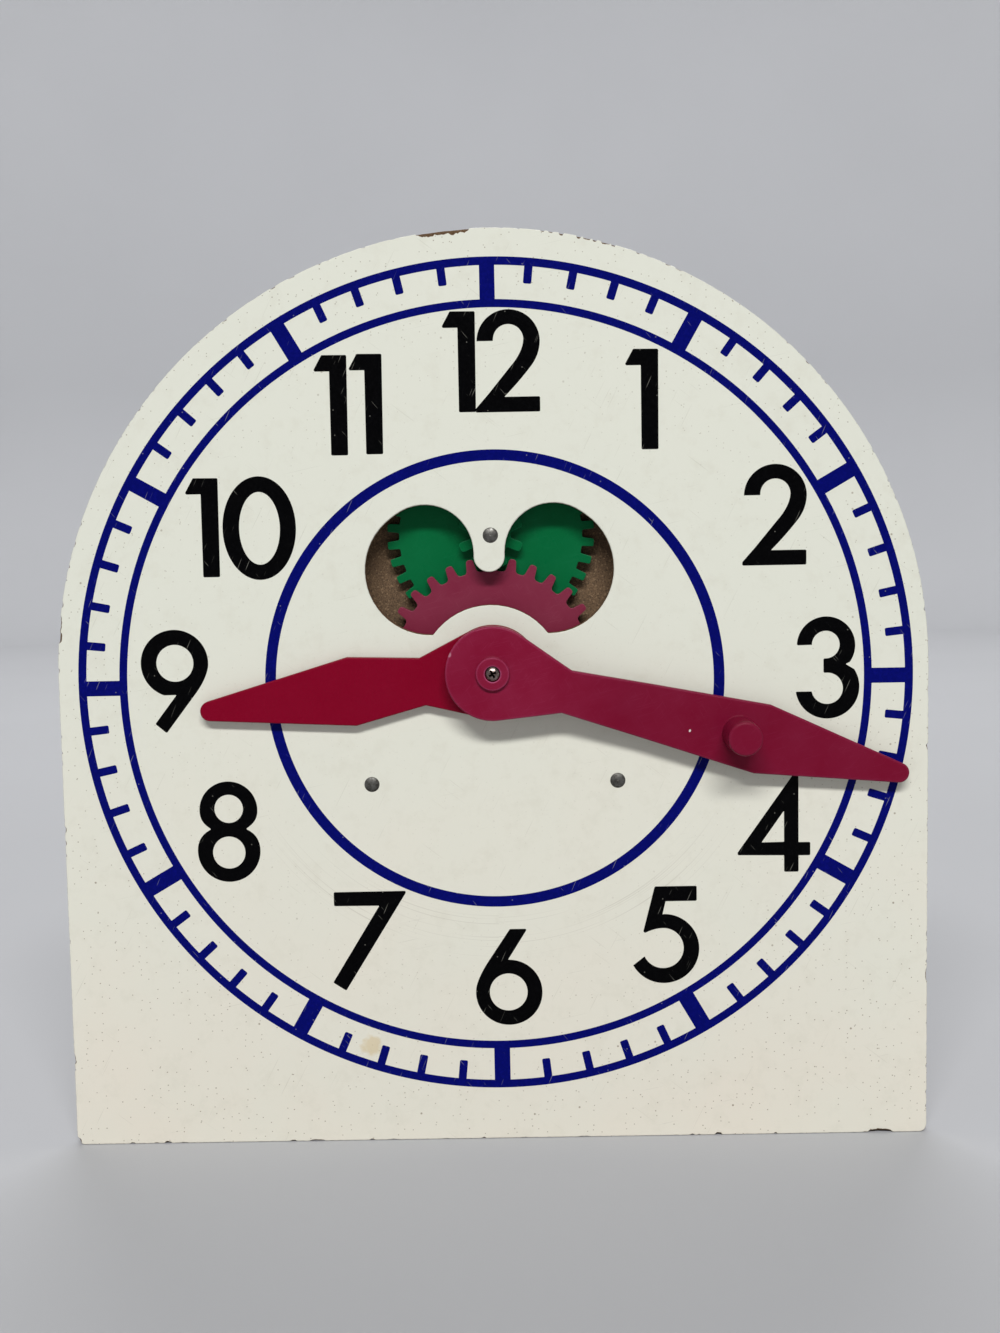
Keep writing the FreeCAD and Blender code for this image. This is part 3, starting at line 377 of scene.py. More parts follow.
def old_enamel(tree, spot, flat, cuts):
    """The colour of the enamel, dirtied by use, and the broad clouds in which it has yellowed.

    flat is the spot on the plane of the dial; cuts is where that plane is scratched.
    """
    from_centre = add(tree, "VectorMath", {0: flat, 1: (*PRINT_CENTRE, 0.0)},
                      operation="SUBTRACT")
    radius = add(tree, "VectorMath", {0: from_centre}, operation="LENGTH").outputs["Value"]
    around = add(tree, "SeparateXYZ", {0: from_centre}).outputs
    height = add(tree, "SeparateXYZ", {0: spot}).outputs["Z"]

    # The enamel is cooler above and has yellowed towards the foot, in broad clouds.
    clouds = add(tree, "TexNoise", {"Vector": spot, "Scale": 1 / 55.0, "Detail": 3.0})
    lower = add(tree, "MapRange", {"Value": height, "From Min": 200.0, "From Max": 0.0,
                                   "To Min": 0.1, "To Max": 1.6})
    warm = add(tree, "Math", {0: clouds, 1: lower}, operation="MULTIPLY", use_clamp=True)
    colour = add(tree, "MixRGB", {0: warm, 1: linear("D9DACD"), 2: linear("DDD7C9")})
    grime = add(tree, "TexNoise", {"Vector": spot, "Scale": 1 / 7.0, "Detail": 5.0,
                                   "Roughness": 0.65})
    grime = add(tree, "MapRange", {"Value": grime, "From Min": 0.52, "From Max": 0.75,
                                   "To Max": 0.3})
    colour = add(tree, "MixRGB", {0: grime, 1: colour, 2: linear("C9C6B6")})

    # Fingers that turned the hands left faint arcs in the lower half, between two radii: a noise
    # that changes within a millimetre outwards and is drawn out along the arc.
    angle = add(tree, "Math", {0: around["X"], 1: around["Y"]}, operation="ARCTAN2")
    across = add(tree, "Math", {0: radius, 1: 1.6}, operation="MULTIPLY")
    wound = add(tree, "CombineXYZ", {"X": across, "Y": angle})
    arcs = add(tree, "TexNoise", {"Vector": wound, "Scale": 1.0, "Detail": 2.0},
               noise_dimensions="2D")
    arcs = add(tree, "MapRange", {"Value": arcs, "From Min": 0.62, "From Max": 0.72})
    for place, nothing, full, most in ((radius, 86.0, 92.0, 1.0), (radius, 108.0, 102.0, 1.0),
                                       (height, 130.0, 90.0, 0.35)):
        swept = add(tree, "MapRange", {"Value": place, "From Min": nothing, "From Max": full,
                                       "To Max": most})
        arcs = add(tree, "Math", {0: arcs, 1: swept}, operation="MULTIPLY")
    colour = add(tree, "MixRGB", {0: arcs, 1: colour, 2: linear("A9A294")})

    # Specks of dirt, darker towards the rim, and dust in the hair-thin scratches.
    rim = add(tree, "MapRange", {"Value": radius, "From Min": 90.0, "From Max": 175.0,
                                 "To Min": 0.12, "To Max": 0.8})
    for spacing, size, share in PAINT_SPECKS:
        dots = specks(tree, flat, spacing, size, share)
        dots = add(tree, "Math", {0: dots, 1: rim}, operation="MULTIPLY")
        colour = add(tree, "MixRGB", {0: dots, 1: colour, 2: linear("857763")})
    dusty = add(tree, "Math", {0: cuts, 1: 0.2}, operation="MULTIPLY")
    colour = add(tree, "MixRGB", {0: dusty, 1: colour, 2: linear("8E8878")})

    # One spilt drop has yellowed.
    ragged = add(tree, "TexNoise", {"Vector": spot, "Scale": 1 / 3.0, "Detail": 3.0})
    ragged = add(tree, "Math", {0: ragged, 1: 6.0}, operation="MULTIPLY")
    reach = add(tree, "VectorMath", {0: flat, 1: (*STAIN, 0.0)}, operation="DISTANCE")
    reach = add(tree, "Math", {0: reach.outputs["Value"], 1: ragged}, operation="ADD")
    stain = add(tree, "MapRange", {"Value": reach, "From Min": 7.4, "From Max": 5.6,
                                   "To Max": 0.6})
    return add(tree, "MixRGB", {0: stain, 1: colour, 2: linear("CDB98E")}), clouds


def enamelled_hardboard(tree, spot):
    """Old enamel, soft-glossy and slightly uneven, over fibre that shows where it is bare."""
    flat = on_dial(tree, spot)
    cuts = hair_scratches(tree, flat, PAINT_SCRATCHES)
    colour, clouds = old_enamel(tree, spot, flat, cuts)

    # Behind the lap of the paint the board is bare, and in the chips it is bare and dirty.
    brown, fibre = hardboard(tree, spot, "5A412B", "87694B")
    brown, weave = pressed_back(tree, spot, 0.0, brown)
    chipped = add(tree, "Attribute", attribute_name="bare").outputs["Fac"]
    dirt = add(tree, "Math", {0: chipped, 1: 0.4}, operation="MULTIPLY")
    brown = add(tree, "MixRGB", {0: dirt, 1: brown, 2: linear(DIRT_AND_SHADE_BROWN)})
    wander = add(tree, "TexNoise", {"Vector": spot, "Scale": 1 / 1.2, "Detail": 3.0})
    depth = add(tree, "SeparateXYZ", {0: spot}).outputs["Y"]
    lap = add(tree, "Math", {0: depth, 1: wander}, operation="ADD")
    lap_from, lap_to = (BOARD_FRONT + NOISE_MEAN + edge for edge in PAINT_LAP)
    lap = add(tree, "MapRange", {"Value": lap, "From Min": lap_from, "From Max": lap_to})
    unpainted = add(tree, "Math", {0: lap, 1: chipped}, operation="MAXIMUM")
    colour = add(tree, "MixRGB", {0: unpainted, 1: colour, 2: brown})
    gloss = add(tree, "MapRange", {"Value": clouds, "From Min": 0.3, "From Max": 0.7,
                                   "To Min": 0.32, "To Max": 0.42})
    rough = add(tree, "Math", {0: gloss, 1: unpainted}, operation="MAXIMUM")

    # Orange peel of the rolled enamel, with the scratches cut in; bare fibre is much coarser.
    peel = add(tree, "TexNoise", {"Vector": spot, "Scale": 1 / 1.6, "Detail": 3.0})
    peel = add(tree, "Math", {0: peel, 1: cuts}, operation="SUBTRACT")
    smooth = add(tree, "Bump", {"Height": peel, "Distance": 0.02 * MM})
    coarse = add(tree, "Bump", {"Height": fibre, "Distance": 0.35 * MM, "Strength": unpainted,
                                "Normal": smooth})
    pressed = add(tree, "Bump", {"Height": weave, "Distance": 0.15 * MM, "Normal": coarse})
    return {"Base Color": colour, "Roughness": rough, "Normal": pressed}


board = sawn_board("dial_board_enamelled", "dial_board", BOARD_FRAYS, BOARD_CHIPS, seed=3)
board.data.materials.append(new_material("enamel_on_hardboard", enamelled_hardboard, IOR=1.5,
                                         Specular_IOR_Level=0.15))
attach(board, "frame")
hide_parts("dial_board")

# ------------------------------------------------------------------------------- blue screen print
# The minute track, the hour bars and the inner ring are one silk-screened coat of blue enamel
# ink. The screen left the ink a few hundredths of a millimetre proud, with soft corners, and each
# mark a little off its true place.

INK_PROUD, INK_SUNK = 0.03, 0.02        # how far ink stands above the enamel and reaches into it
INK_SPREAD = 0.16                       # how far ink crept past the openings of the screen, mm
TRACK_CENTRE = Vector((0.3, -0.25))     # the outer two rings, from the centre of the print, mm
INNER_CENTRE = Vector((0.15, -0.1))     # the inner ring, likewise
OUTER_RING, SECOND_RING, INNER_RING = (152.4, 155.1), (137.2, 139.8), (81.6, 85.3)
TICK_FOOT = 145.7                       # inner end of the minute ticks, mm
FOOT_SHIFT = Vector((0.1, 0.4))         # how far the circle of those ends is off the centre
TICK_WIDTH = 2.75                       # of a minute's tick; the hours' bars are wider, mm
HOUR_BAR_WIDTHS = (5.25, 5.4, 5.45, 5.3, 5.7, 5.85, 5.7, 5.6, 5.6, 5.3, 5.2, 5.4)   # from 12 on
BAR_CORNER = 0.5                        # radius of a bar's printed corner, mm
ROUNDED_TURN = math.radians(25)         # an outline's corners that turn less are left as they are
CLOSEST_POINTS = 0.02                   # points nearer than this are taken as one, mm

# Scratches and pinholes in the ink, in the same terms as those and the specks of the enamel.
INK_SCRATCHES = [(66.0, 12.0, 0.5, 0.79), (-50.0, 9.0, 0.5, 0.81)]
PINHOLES = (7.0, 0.22, 0.2)

# How far each mark of the minute track, from 12 on, stands clockwise of its true place, degrees.
MARK_ERRORS = [
    -0.15, -0.4, -0.2, -0.3, -0.45, -0.35, -0.15, -0.3, -0.3, -0.5, 0.1, -0.05,
    -0.05, 0.1, -0.2, 0.1, -0.25, -0.15, -0.4, -0.15, 0.05, 0.1, -0.2, -0.2,
    -0.5, -0.05, -0.4, -0.55, -0.65, -0.6, -0.05, -0.3, -0.3, -0.45, -0.55, 0.05,
    0.0, -0.25, -0.25, -0.2, -0.15, -0.35, -0.1, -0.1, -0.15, -0.1, -0.05, -0.4,
    -0.35, -0.45, -0.35, -0.2, -0.35, -0.5, -0.7, -0.5, -0.35, -0.65, -0.75, -0.5,
]


def arc(x, z, radius, start, end, tall=1.0):
    """Points of an arc about (x, z), from one angle to another in degrees; tall stretches it."""
    count = max(4, math.ceil(abs(math.radians(end - start)) * radius / EDGE_STEP))
    angles = [math.radians(start + (end - start) * i / count) for i in range(count + 1)]
    return [Vector((x + radius * math.cos(a), z + radius * tall * math.sin(a))) for a in angles]


def ring(centre, radii):
    """A flat ring as an outline and its hole."""
    return [arc(*centre, radius, 0.0, 360.0)[:-1] for radius in reversed(radii)]


def bend(start, control, end, steps=8):
    """Points of a curve from start to end, pulled towards control."""
    a, b, c = Vector(start), Vector(control), Vector(end)
    return [a.lerp(b, i / steps).lerp(b.lerp(c, i / steps), i / steps) for i in range(steps + 1)]


def rounded(loop, radius):
    """An outline with its sharp corners rounded to a radius."""
    loop = [Vector(point) for point in loop]
    loop = [b for a, b in zip(loop[-1:] + loop[:-1], loop) if (b - a).length > CLOSEST_POINTS]
    points = []
    for before, corner, after in zip(loop[-1:] + loop[:-1], loop, loop[1:] + loop[:1]):
        turn = (corner - before).angle(after - corner)
        if turn < ROUNDED_TURN:
            points.append(corner)
            continue
        # The cut takes less than half of either side, so that the next corner has its own.
        cut = min(radius * math.tan(turn / 2), 0.45 * (corner - before).length,
                  0.45 * (after - corner).length)
        start = corner + (before - corner).normalized() * cut
        end = corner + (after - corner).normalized() * cut
        points += bend(start, corner, end, steps=4)
    return points


def radial_bar(clockwise, inner, width):
    """A bar from an inner radius out to the outer ring, so many degrees clockwise of 12."""
    angle = math.radians(90 - clockwise)
    outward = Vector((math.cos(angle), math.sin(angle)))
    half = Vector((-outward.y, outward.x)) * width / 2
    near = TRACK_CENTRE + outward * (inner + FOOT_SHIFT.dot(outward))
    far = TRACK_CENTRE + outward * sum(OUTER_RING) / 2
    return [rounded([near - half, far - half, far + half, near + half], BAR_CORNER)]


def printed(name, shapes):
    """One coat of ink of those shapes, given in mm from the centre of the print."""
    spread = [[[point - inward * INK_SPREAD
                for point, inward in zip(loop, into_material(loop, place > 0))]
               for place, loop in enumerate(shape)] for shape in shapes]
    points, triangles = filled(spread)
    mesh = bmesh.new()
    layers = [[mesh.verts.new(((PRINT_CENTRE.x + p.x) * MM, (BOARD_FRONT + depth) * MM,
                               (PRINT_CENTRE.y + p.y) * MM)) for p in points]
              for depth in (-INK_PROUD, INK_SUNK)]
    rim = {}
    for a, b, c in triangles:
        for layer in layers:
            mesh.faces.new((layer[a], layer[b], layer[c]))
        for edge in ((a, b), (b, c), (c, a)):
            if edge[::-1] in rim:
                del rim[edge[::-1]]
            else:
                rim[edge] = True
    front, back = layers
    for a, b in rim:
        mesh.faces.new((front[a], front[b], back[b], back[a]))
    bmesh.ops.delete(mesh, geom=[v for v in mesh.verts if not v.link_faces], context="VERTS")
    return finished_piece(name, mesh)


def screen_ink(colour, thin, paint_showing):
    """How one coat of ink is drawn: mottled by the screen, scratched and pricked with pinholes.

    paint_showing is how much of the enamel's colour shows in the scratches and pinholes.
    """
    def drawn(tree, spot):
        flat = on_dial(tree, spot)
        mottle = add(tree, "TexNoise", {"Vector": spot, "Scale": 1 / 0.9, "Detail": 3.0})
        thinner = add(tree, "MapRange", {"Value": mottle, "From Min": 0.45, "From Max": 0.8})
        shade = add(tree, "MixRGB", {0: thinner, 1: linear(colour), 2: linear(thin)})
        cuts = hair_scratches(tree, flat, INK_SCRATCHES)
        holes = specks(tree, flat, *PINHOLES)
        worn = add(tree, "Math", {0: cuts, 1: holes}, operation="MAXIMUM")
        worn = add(tree, "Math", {0: worn, 1: paint_showing}, operation="MULTIPLY")
        shade = add(tree, "MixRGB", {0: worn, 1: shade, 2: linear("C9C7BA")})
        gloss = add(tree, "MapRange", {"Value": mottle, "To Min": 0.24, "To Max": 0.4})
        relief = add(tree, "Bump", {"Height": mottle, "Distance": 0.012 * MM})
        return {"Base Color": shade, "Roughness": gloss, "Normal": relief}
    return drawn


track = [ring(TRACK_CENTRE, OUTER_RING), ring(TRACK_CENTRE, SECOND_RING),
         ring(INNER_CENTRE, INNER_RING)]
for minute, error in enumerate(MARK_ERRORS):
    if minute % 5:
        track.append(radial_bar(6 * minute + error, TICK_FOOT, TICK_WIDTH))
    else:
        track.append(radial_bar(6 * minute + error, sum(SECOND_RING) / 2,
                                HOUR_BAR_WIDTHS[minute // 5]))
blue_print = printed("blue_print", track)
blue_print.data.materials.append(new_material(
    "blue_screen_ink", screen_ink("03085E", "070C70", 0.25), IOR=1.5, Specular_IOR_Level=0.04))
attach(blue_print, "frame")

# ----------------------------------------------------------------------------------- hour numerals
# The numerals are a second coat, of black ink, in a plain school lettering of even strokes. Their
# corners were softened by the screen; use has scratched them.

NUMERAL_CORNER = 0.4                    # radius of a numeral's printed corner, mm

# Each numeral as an outline and its holes, in mm from its left foot.
NUMERALS = {
    "0": [arc(13.2, 18.9, 13.4, 0, 360, 18.9 / 13.4), arc(13.3, 18.85, 7.7, 0, 360, 13.55 / 7.7)],
    "1": [[(0, 31), (2.9, 36.2), (11.8, 36.1), (11.6, 0), (5.7, 0), (5.7, 30.6), (0.3, 30.6)]],
    "2": [[(0, 0.1), (23.4, 0.1), (23.4, 5.3),
           *bend((10.1, 5.3), (15.5, 10.6), (19.9, 16.1)),
           *bend((19.9, 16.1), (23.4, 20.2), (23.6, 25.5)), *arc(12.2, 25.5, 11.4, 0, 180),
           (0.8, 25.9), (6.5, 25.9), *arc(12.2, 26.2, 5.7, 180, 0),
           *bend((17.9, 26.2), (17.7, 21.5), (12.8, 16.1)), (4.9, 6.6), (0.1, 1.2)]],
    "3": [[(-0.4, 9.9), *arc(11.3, 11.7, 11.7, 188, 393), (17.7, 20.1),
           *arc(10.8, 27.1, 10.65, -35, 178), (0.15, 27.5), (5.4, 27.6),
           *arc(10.7, 27.45, 5.3, 180, -90), (10, 22.1), (10, 17.1),
           *arc(11.2, 11.15, 6, 90, -168), (5.3, 9.9)]],
    "4": [[(-0.3, 6.6), (17.1, 6.3), (17.1, 0), (22.2, 0), (22.2, 6.2), (26.6, 6.2),
           (26.6, 10.9), (22.2, 10.9), (22.2, 37.6), (21.2, 37.6), (-0.3, 7.4)],
          [(8.2, 11), (17.1, 11.1), (17.1, 23.6)]],
    "5": [[(8.2, 36.8), (3.8, 19.8), *bend((4.3, 19.4), (7.6, 21.1), (11.1, 21.15)),
           *arc(11.1, 13.3, 7.85, 90, -155), (4, 10), (-0.2, 6.7),
           *arc(11.4, 13.1, 13.1, 209, 450), (10.7, 26), (12, 31.4), (23.7, 31.4),
           (23.7, 36.8)]],
    "6": [[(12, 25.2), (19.2, 36.6), (19, 36.9), (13.2, 36.9),
           *bend((5.4, 25.3), (1.6, 19.7), (0.42, 15.49)), *arc(12.5, 12.7, 12.4, 167, 448)],
          arc(12.3, 12.85, 7.3, 0, 360)],
    "7": [[(0.3, 37.6), (0.3, 32.6), (17.5, 32.5), (-0.7, 3.1), (3.9, 0.1), (27.1, 37.1),
           (27.1, 37.7)]],
    "8": [[*bend((18.2, 20.2), (21.7, 22.4), (22.2, 25.2)), *arc(11.7, 27.1, 10.7, -8, 188),
           *bend((1.2, 25.2), (1.6, 22.4), (4.9, 20.3)),
           *bend((4.9, 19.7), (1.3, 17.9), (0.4, 14.8)), *arc(11.5, 11.6, 11.6, 166, 374),
           *bend((22.6, 14.8), (21.7, 17.9), (18.2, 19.6))],
          arc(11.8, 27.6, 5.5, 0, 360), arc(11.5, 11, 6.25, 0, 360)],
    "9": [[(13.3, 14.2), (4.9, 3.3), (8.8, 0), *bend((20.2, 14.8), (24, 19.8), (24.9, 24.29)),
           *arc(12.6, 25.8, 12.4, -7, 250)], arc(12.75, 25.9, 7.05, 0, 360)],
}

# Where the left foot of each stands, in mm from the centre of the print.
NUMERAL_PLACES = [
    ("1", -16.7, 99.2), ("2", -4.9, 98.9), ("1", 50.1, 84.5), ("2", 92.5, 41.1),
    ("3", 112.5, -16.2), ("4", 90.6, -73.9), ("5", 50.8, -115.8), ("6", -9.0, -131.3),
    ("7", -62.1, -116.8), ("8", -112.3, -74.2), ("9", -131.5, -17.4), ("1", -112.6, 40.4),
    ("0", -99.0, 39.1), ("1", -64.0, 84.3), ("1", -51.1, 84.5),
]

numerals = []
for digit, left, foot in NUMERAL_PLACES:
    numerals.append([[point + Vector((left, foot)) for point in rounded(loop, NUMERAL_CORNER)]
                     for loop in NUMERALS[digit]])
numeral_print = printed("numerals", numerals)
numeral_print.data.materials.append(new_material(
    "black_screen_ink", screen_ink("020203", "060607", 0.22), IOR=1.5, Specular_IOR_Level=0.04))
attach(numeral_print, "frame")

# -------------------------------------------------------------------------------------- back plate
# A smaller sheet of eighth-inch hardboard, sawn square, is riveted behind the window and carries
# the wheels. It was left bare: smooth in front, with the print of the pressing screen behind.

PLATE_FRAYS = (0.25,)       # depth of the unevenness of its outside; its holes stay true


def bare_hardboard(tree, spot):
    """Bare pressed fibre; behind, the weave of the screen is pressed into it."""
    brown, fibre = hardboard(tree, spot, "443220", "7A6044")
    middle = sum(corner.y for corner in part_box("back_plate")) / 2 / MM
    colour, weave = pressed_back(tree, spot, middle, brown)
    grain = add(tree, "Bump", {"Height": fibre, "Distance": 0.12 * MM})
    pressed = add(tree, "Bump", {"Height": weave, "Distance": 0.15 * MM, "Normal": grain})
    return {"Base Color": colour, "Normal": pressed}


plate = sawn_board("back_plate_hardboard", "back_plate", PLATE_FRAYS, [], seed=8)
plate.data.materials.append(new_material("bare_hardboard", bare_hardboard, Roughness=0.8,
                                         IOR=1.5))
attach(plate, "frame")
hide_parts("back_plate")

# --------------------------------------------------------------------- rivets, spacers, wheel axle
# Three rivets with low domed heads and loose washers, and the tubes between the boards that space
# them and carry the green wheel, hold the dial and the plate together. They are mild steel,
# tumbled and left unplated, and have gone dull, grey and blotched.

STEEL_PIECES = ["top_rivet", "left_rivet", "right_rivet", "top_burr", "left_burr", "right_burr",
                "idler_axle", "left_spacer", "right_spacer"]


def rounded_outer_edge(tree, radius, reach):
    """How near a spot is to an outer edge, from 0 to 1, and the normal of the edge rounded to a
    radius.

    The mask serves for wear and, on the mouldings, for a painted highlight; it is full where the
    rounded edge has turned so far that the cosine is 1 - reach.
    """
    soft = add(tree, "Bevel", {"Radius": radius * MM}, samples=6)
    true = add(tree, "NewGeometry").outputs["Normal"]
    same = add(tree, "VectorMath", {0: soft, 1: true}, operation="DOT_PRODUCT")
    near = add(tree, "MapRange", {"Value": same.outputs["Value"], "From Min": 1.0,
                                  "From Max": 1.0 - reach})
    # The inner corners, which their own walls shield, are left out of this mask.
    shield = add(tree, "AmbientOcclusion", {"Distance": 2 * radius * MM}, samples=4)
    open_edge = add(tree, "MapRange", {"Value": shield.outputs["AO"], "From Min": 0.75,
                                          "From Max": 0.95})
    return add(tree, "Math", {0: near, 1: open_edge}, operation="MULTIPLY"), soft


def dull_steel(tree, spot):
    """Bare steel gone grey and blotched, rubbed a little brighter round the rim."""
    blotch = add(tree, "TexNoise", {"Vector": spot, "Scale": 1 / 1.6, "Detail": 5.0,
                                    "Roughness": 0.65})
    patchy = add(tree, "MapRange", {"Value": blotch, "From Min": 0.38, "From Max": 0.66})
    colour = add(tree, "MixRGB", {0: patchy, 1: linear("6E6D69"), 2: linear("3D3A36")})
    near, soft = rounded_outer_edge(tree, 0.25, 0.2)
    paler_rim = add(tree, "Math", {0: near, 1: 0.5}, operation="MULTIPLY")
    colour = add(tree, "MixRGB", {0: paler_rim, 1: colour, 2: linear("8F8E8A")})
    rough = add(tree, "MapRange", {"Value": blotch, "From Min": 0.3, "From Max": 0.7,
                                   "To Min": 0.34, "To Max": 0.62})
    dents = add(tree, "Bump", {"Height": blotch, "Distance": 0.04 * MM, "Normal": soft})
    return {"Base Color": colour, "Roughness": rough, "Normal": dents}


def dress(names, material):
    """Give the named CAD pieces their material."""
    for name in names:
        nodes[name].material_slots[0].material = material


dress(STEEL_PIECES, new_material("tumbled_mild_steel", dull_steel, Metallic=1.0))

# -------------------------------------------------------------------------------------- the wheels
# The clock is worked by three moulded wheels: a small pinion turned by the minute hand drives
# the big green wheel, whose own pinion drives the wheel of the hour hand. They are high-impact
# polystyrene, satin and dyed through. The edges of the teeth are drawn paler, partly as wear and
# partly as a painted highlight.

# Rub marks, in the same terms as the scratches of the enamel.
MOULDING_SCRATCHES = [(14.0, 11.0, 0.35, 0.70), (-62.0, 8.0, 0.35, 0.72), (48.0, 8.0, 0.35, 0.72)]


def moulded_polystyrene(colour, pale, gloss, wear, edge=0.5):
    """How a dyed moulding is drawn: faintly clouded, paler where worn, with fine rub marks, and
    paler at its rounded outer edges, partly as wear and partly as a painted highlight.

    gloss is the least and the greatest roughness, wear the strength of the pale marks, and edge
    the radius in mm of the rounded outer edges that are drawn paler.
    """
    def drawn(tree, spot):
        clouds = add(tree, "TexNoise", {"Vector": spot, "Scale": 1 / 14.0, "Detail": 3.0})
        worn = add(tree, "MapRange", {"Value": clouds, "From Min": 0.35, "From Max": 0.75,
                                      "To Max": wear})
        shade = add(tree, "MixRGB", {0: worn, 1: linear(colour), 2: linear(pale)})
        # The outer edges are drawn paler: partly wear, partly a painted highlight.
        near, soft = rounded_outer_edge(tree, edge, 0.16)
        paler_rim = add(tree, "Math", {0: near, 1: 0.7}, operation="MULTIPLY")
        shade = add(tree, "MixRGB", {0: paler_rim, 1: shade, 2: linear(pale)})
        cuts = hair_scratches(tree, on_dial(tree, spot), MOULDING_SCRATCHES)
        cuts = add(tree, "Math", {0: cuts, 1: wear}, operation="MULTIPLY")
        shade = add(tree, "MixRGB", {0: cuts, 1: shade, 2: linear(pale)})
        smear = add(tree, "TexNoise", {"Vector": spot, "Scale": 1 / 5.0, "Detail": 4.0})
        rough = add(tree, "MapRange", {"Value": smear, "From Min": 0.35, "From Max": 0.65,
                                       "To Min": gloss[0], "To Max": gloss[1]})
        skin = add(tree, "TexNoise", {"Vector": spot, "Scale": 1 / 0.7, "Detail": 2.0})
        skin = add(tree, "Math", {0: skin, 1: cuts}, operation="SUBTRACT")
        relief = add(tree, "Bump", {"Height": skin, "Distance": 0.012 * MM, "Normal": soft})
        return {"Base Color": shade, "Roughness": rough, "Normal": relief}
    return drawn


dress(["idler_gear"], new_material(
    "green_moulded_polystyrene", moulded_polystyrene("025F33", "1F7A50", (0.26, 0.36), 0.16),
    IOR=1.59, Specular_IOR_Level=0.05))
dress(["hour_gear", "minute_gear"], new_material(
    "maroon_moulded_polystyrene", moulded_polystyrene("76233A", "8F4659", (0.28, 0.40), 0.2),
    IOR=1.59, Specular_IOR_Level=0.09))

# ----------------------------------------------------------------------------------------- washers
# Three washers keep the turning pieces off the boards and off each other. They are punched from
# black vulcanised fibre, which is matt, with the faint weave of paper in it.


def vulcanised_fibre(tree, spot):
    """Dense matt paper board, nearly black, greyer where it was rubbed."""
    paper = add(tree, "TexNoise", {"Vector": spot, "Scale": 1 / 0.5, "Detail": 4.0})
    grey = add(tree, "MapRange", {"Value": paper, "From Min": 0.45, "From Max": 0.75,
                                  "To Max": 0.6})
    colour = add(tree, "MixRGB", {0: grey, 1: linear("1D1C1B"), 2: linear("454341")})
    relief = add(tree, "Bump", {"Height": paper, "Distance": 0.03 * MM})
    return {"Base Color": colour, "Normal": relief}


dress(["hour_washer", "minute_washer", "thrust_washer"],
      new_material("black_vulcanised_fibre", vulcanised_fibre, Roughness=0.72, IOR=1.5))

# --------------------------------------------------------------------------------------- hour hand
# The short hand is a flat blade on the sleeve of its wheel, moulded in deep red polystyrene of the
# same grade. It is glossier than the long hand above it, because nobody takes hold of it.

dress(["hour_hand"], new_material(
    "red_moulded_polystyrene", moulded_polystyrene("7A0120", "8E1A38", (0.24, 0.32), 0.06),
    IOR=1.59, Specular_IOR_Level=0.05))

# ------------------------------------------------------------------------------------- minute hand
# The long hand is moulded in maroon with its round boss and the finger knob by which the clock
# is turned. Handling has dulled it to a satin with pale rub marks.

HUB = sum(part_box("hand_screw"), Vector()) / 2       # the hands turn round the screw
BLADE_SHADE_REACH = (18.0, 50.0)                    # painted shade darkens the blade over this reach from the hub, mm

# A fleck of wall paint on the blade and a pale scuff on the boss: place and radius in mm, strength
# and colour.
HAND_MARKS = [(72.2, 156.4, 0.35, 0.9, "E4DEDA"), (-15.9, 186.3, 0.9, 0.45, "C79BA8")]


def handled_polystyrene(tree, spot):
    """The dyed moulding, with painted shade darkening the blade, paler edges that are partly wear
    and partly a painted highlight, and two single marks.
    """
    # The pale colour on the wide rounded edges is partly wear and partly a painted highlight.
    made = moulded_polystyrene("790D2D", "CC6A96", (0.28, 0.40), 0.05, edge=0.9)(tree, spot)
    colour = made["Base Color"]
    flat = on_dial(tree, spot)
    # Painted shade: the blade is drawn darker than the boss, from 18 to 50 mm out.
    out = add(tree, "VectorMath", {0: flat, 1: (HUB.x / MM, HUB.z / MM, 0.0)},
              operation="DISTANCE")
    blade_shade = add(tree, "MapRange", {"Value": out.outputs["Value"], "From Min": BLADE_SHADE_REACH[0],
                                  "From Max": BLADE_SHADE_REACH[1], "To Max": 0.4})
    colour = add(tree, "MixRGB", {0: blade_shade, 1: colour, 2: linear("60001E")})
    ragged = add(tree, "TexNoise", {"Vector": spot, "Scale": 1 / 0.9, "Detail": 2.0})
    for x, z, radius, strength, tint in HAND_MARKS:
        reach = add(tree, "VectorMath", {0: flat, 1: (x, z, 0.0)}, operation="DISTANCE")
        reach = add(tree, "Math", {0: reach.outputs["Value"], 1: ragged}, operation="ADD")
        mark = add(tree, "MapRange", {"Value": reach, "From Min": radius + 0.7,
                                      "From Max": radius + 0.4, "To Max": strength})
        colour = add(tree, "MixRGB", {0: mark, 1: colour, 2: linear(tint)})
    made["Base Color"] = colour
    return made


dress(["minute_hand"], new_material("handled_maroon_polystyrene", handled_polystyrene, IOR=1.59,
                                    Specular_IOR_Level=0.07))

# --------------------------------------------------------------------------------------- hub screw
# A small round-headed screw with a crossed slot clamps the long hand to the arbor of its pinion,
# and stands as far round as it was last tightened. It is nickel-plated steel, patchily tarnished;
# the slots are drawn near-black, for dirt and painted shade.

SCREW_TURN = math.radians(29)           # how far anticlockwise of upright it was left
CROSS_HALF_LENGTH, CROSS_HALF_WIDTH = 1.5, 0.42             # its recess, drawn near-black for dirt and painted shade, mm
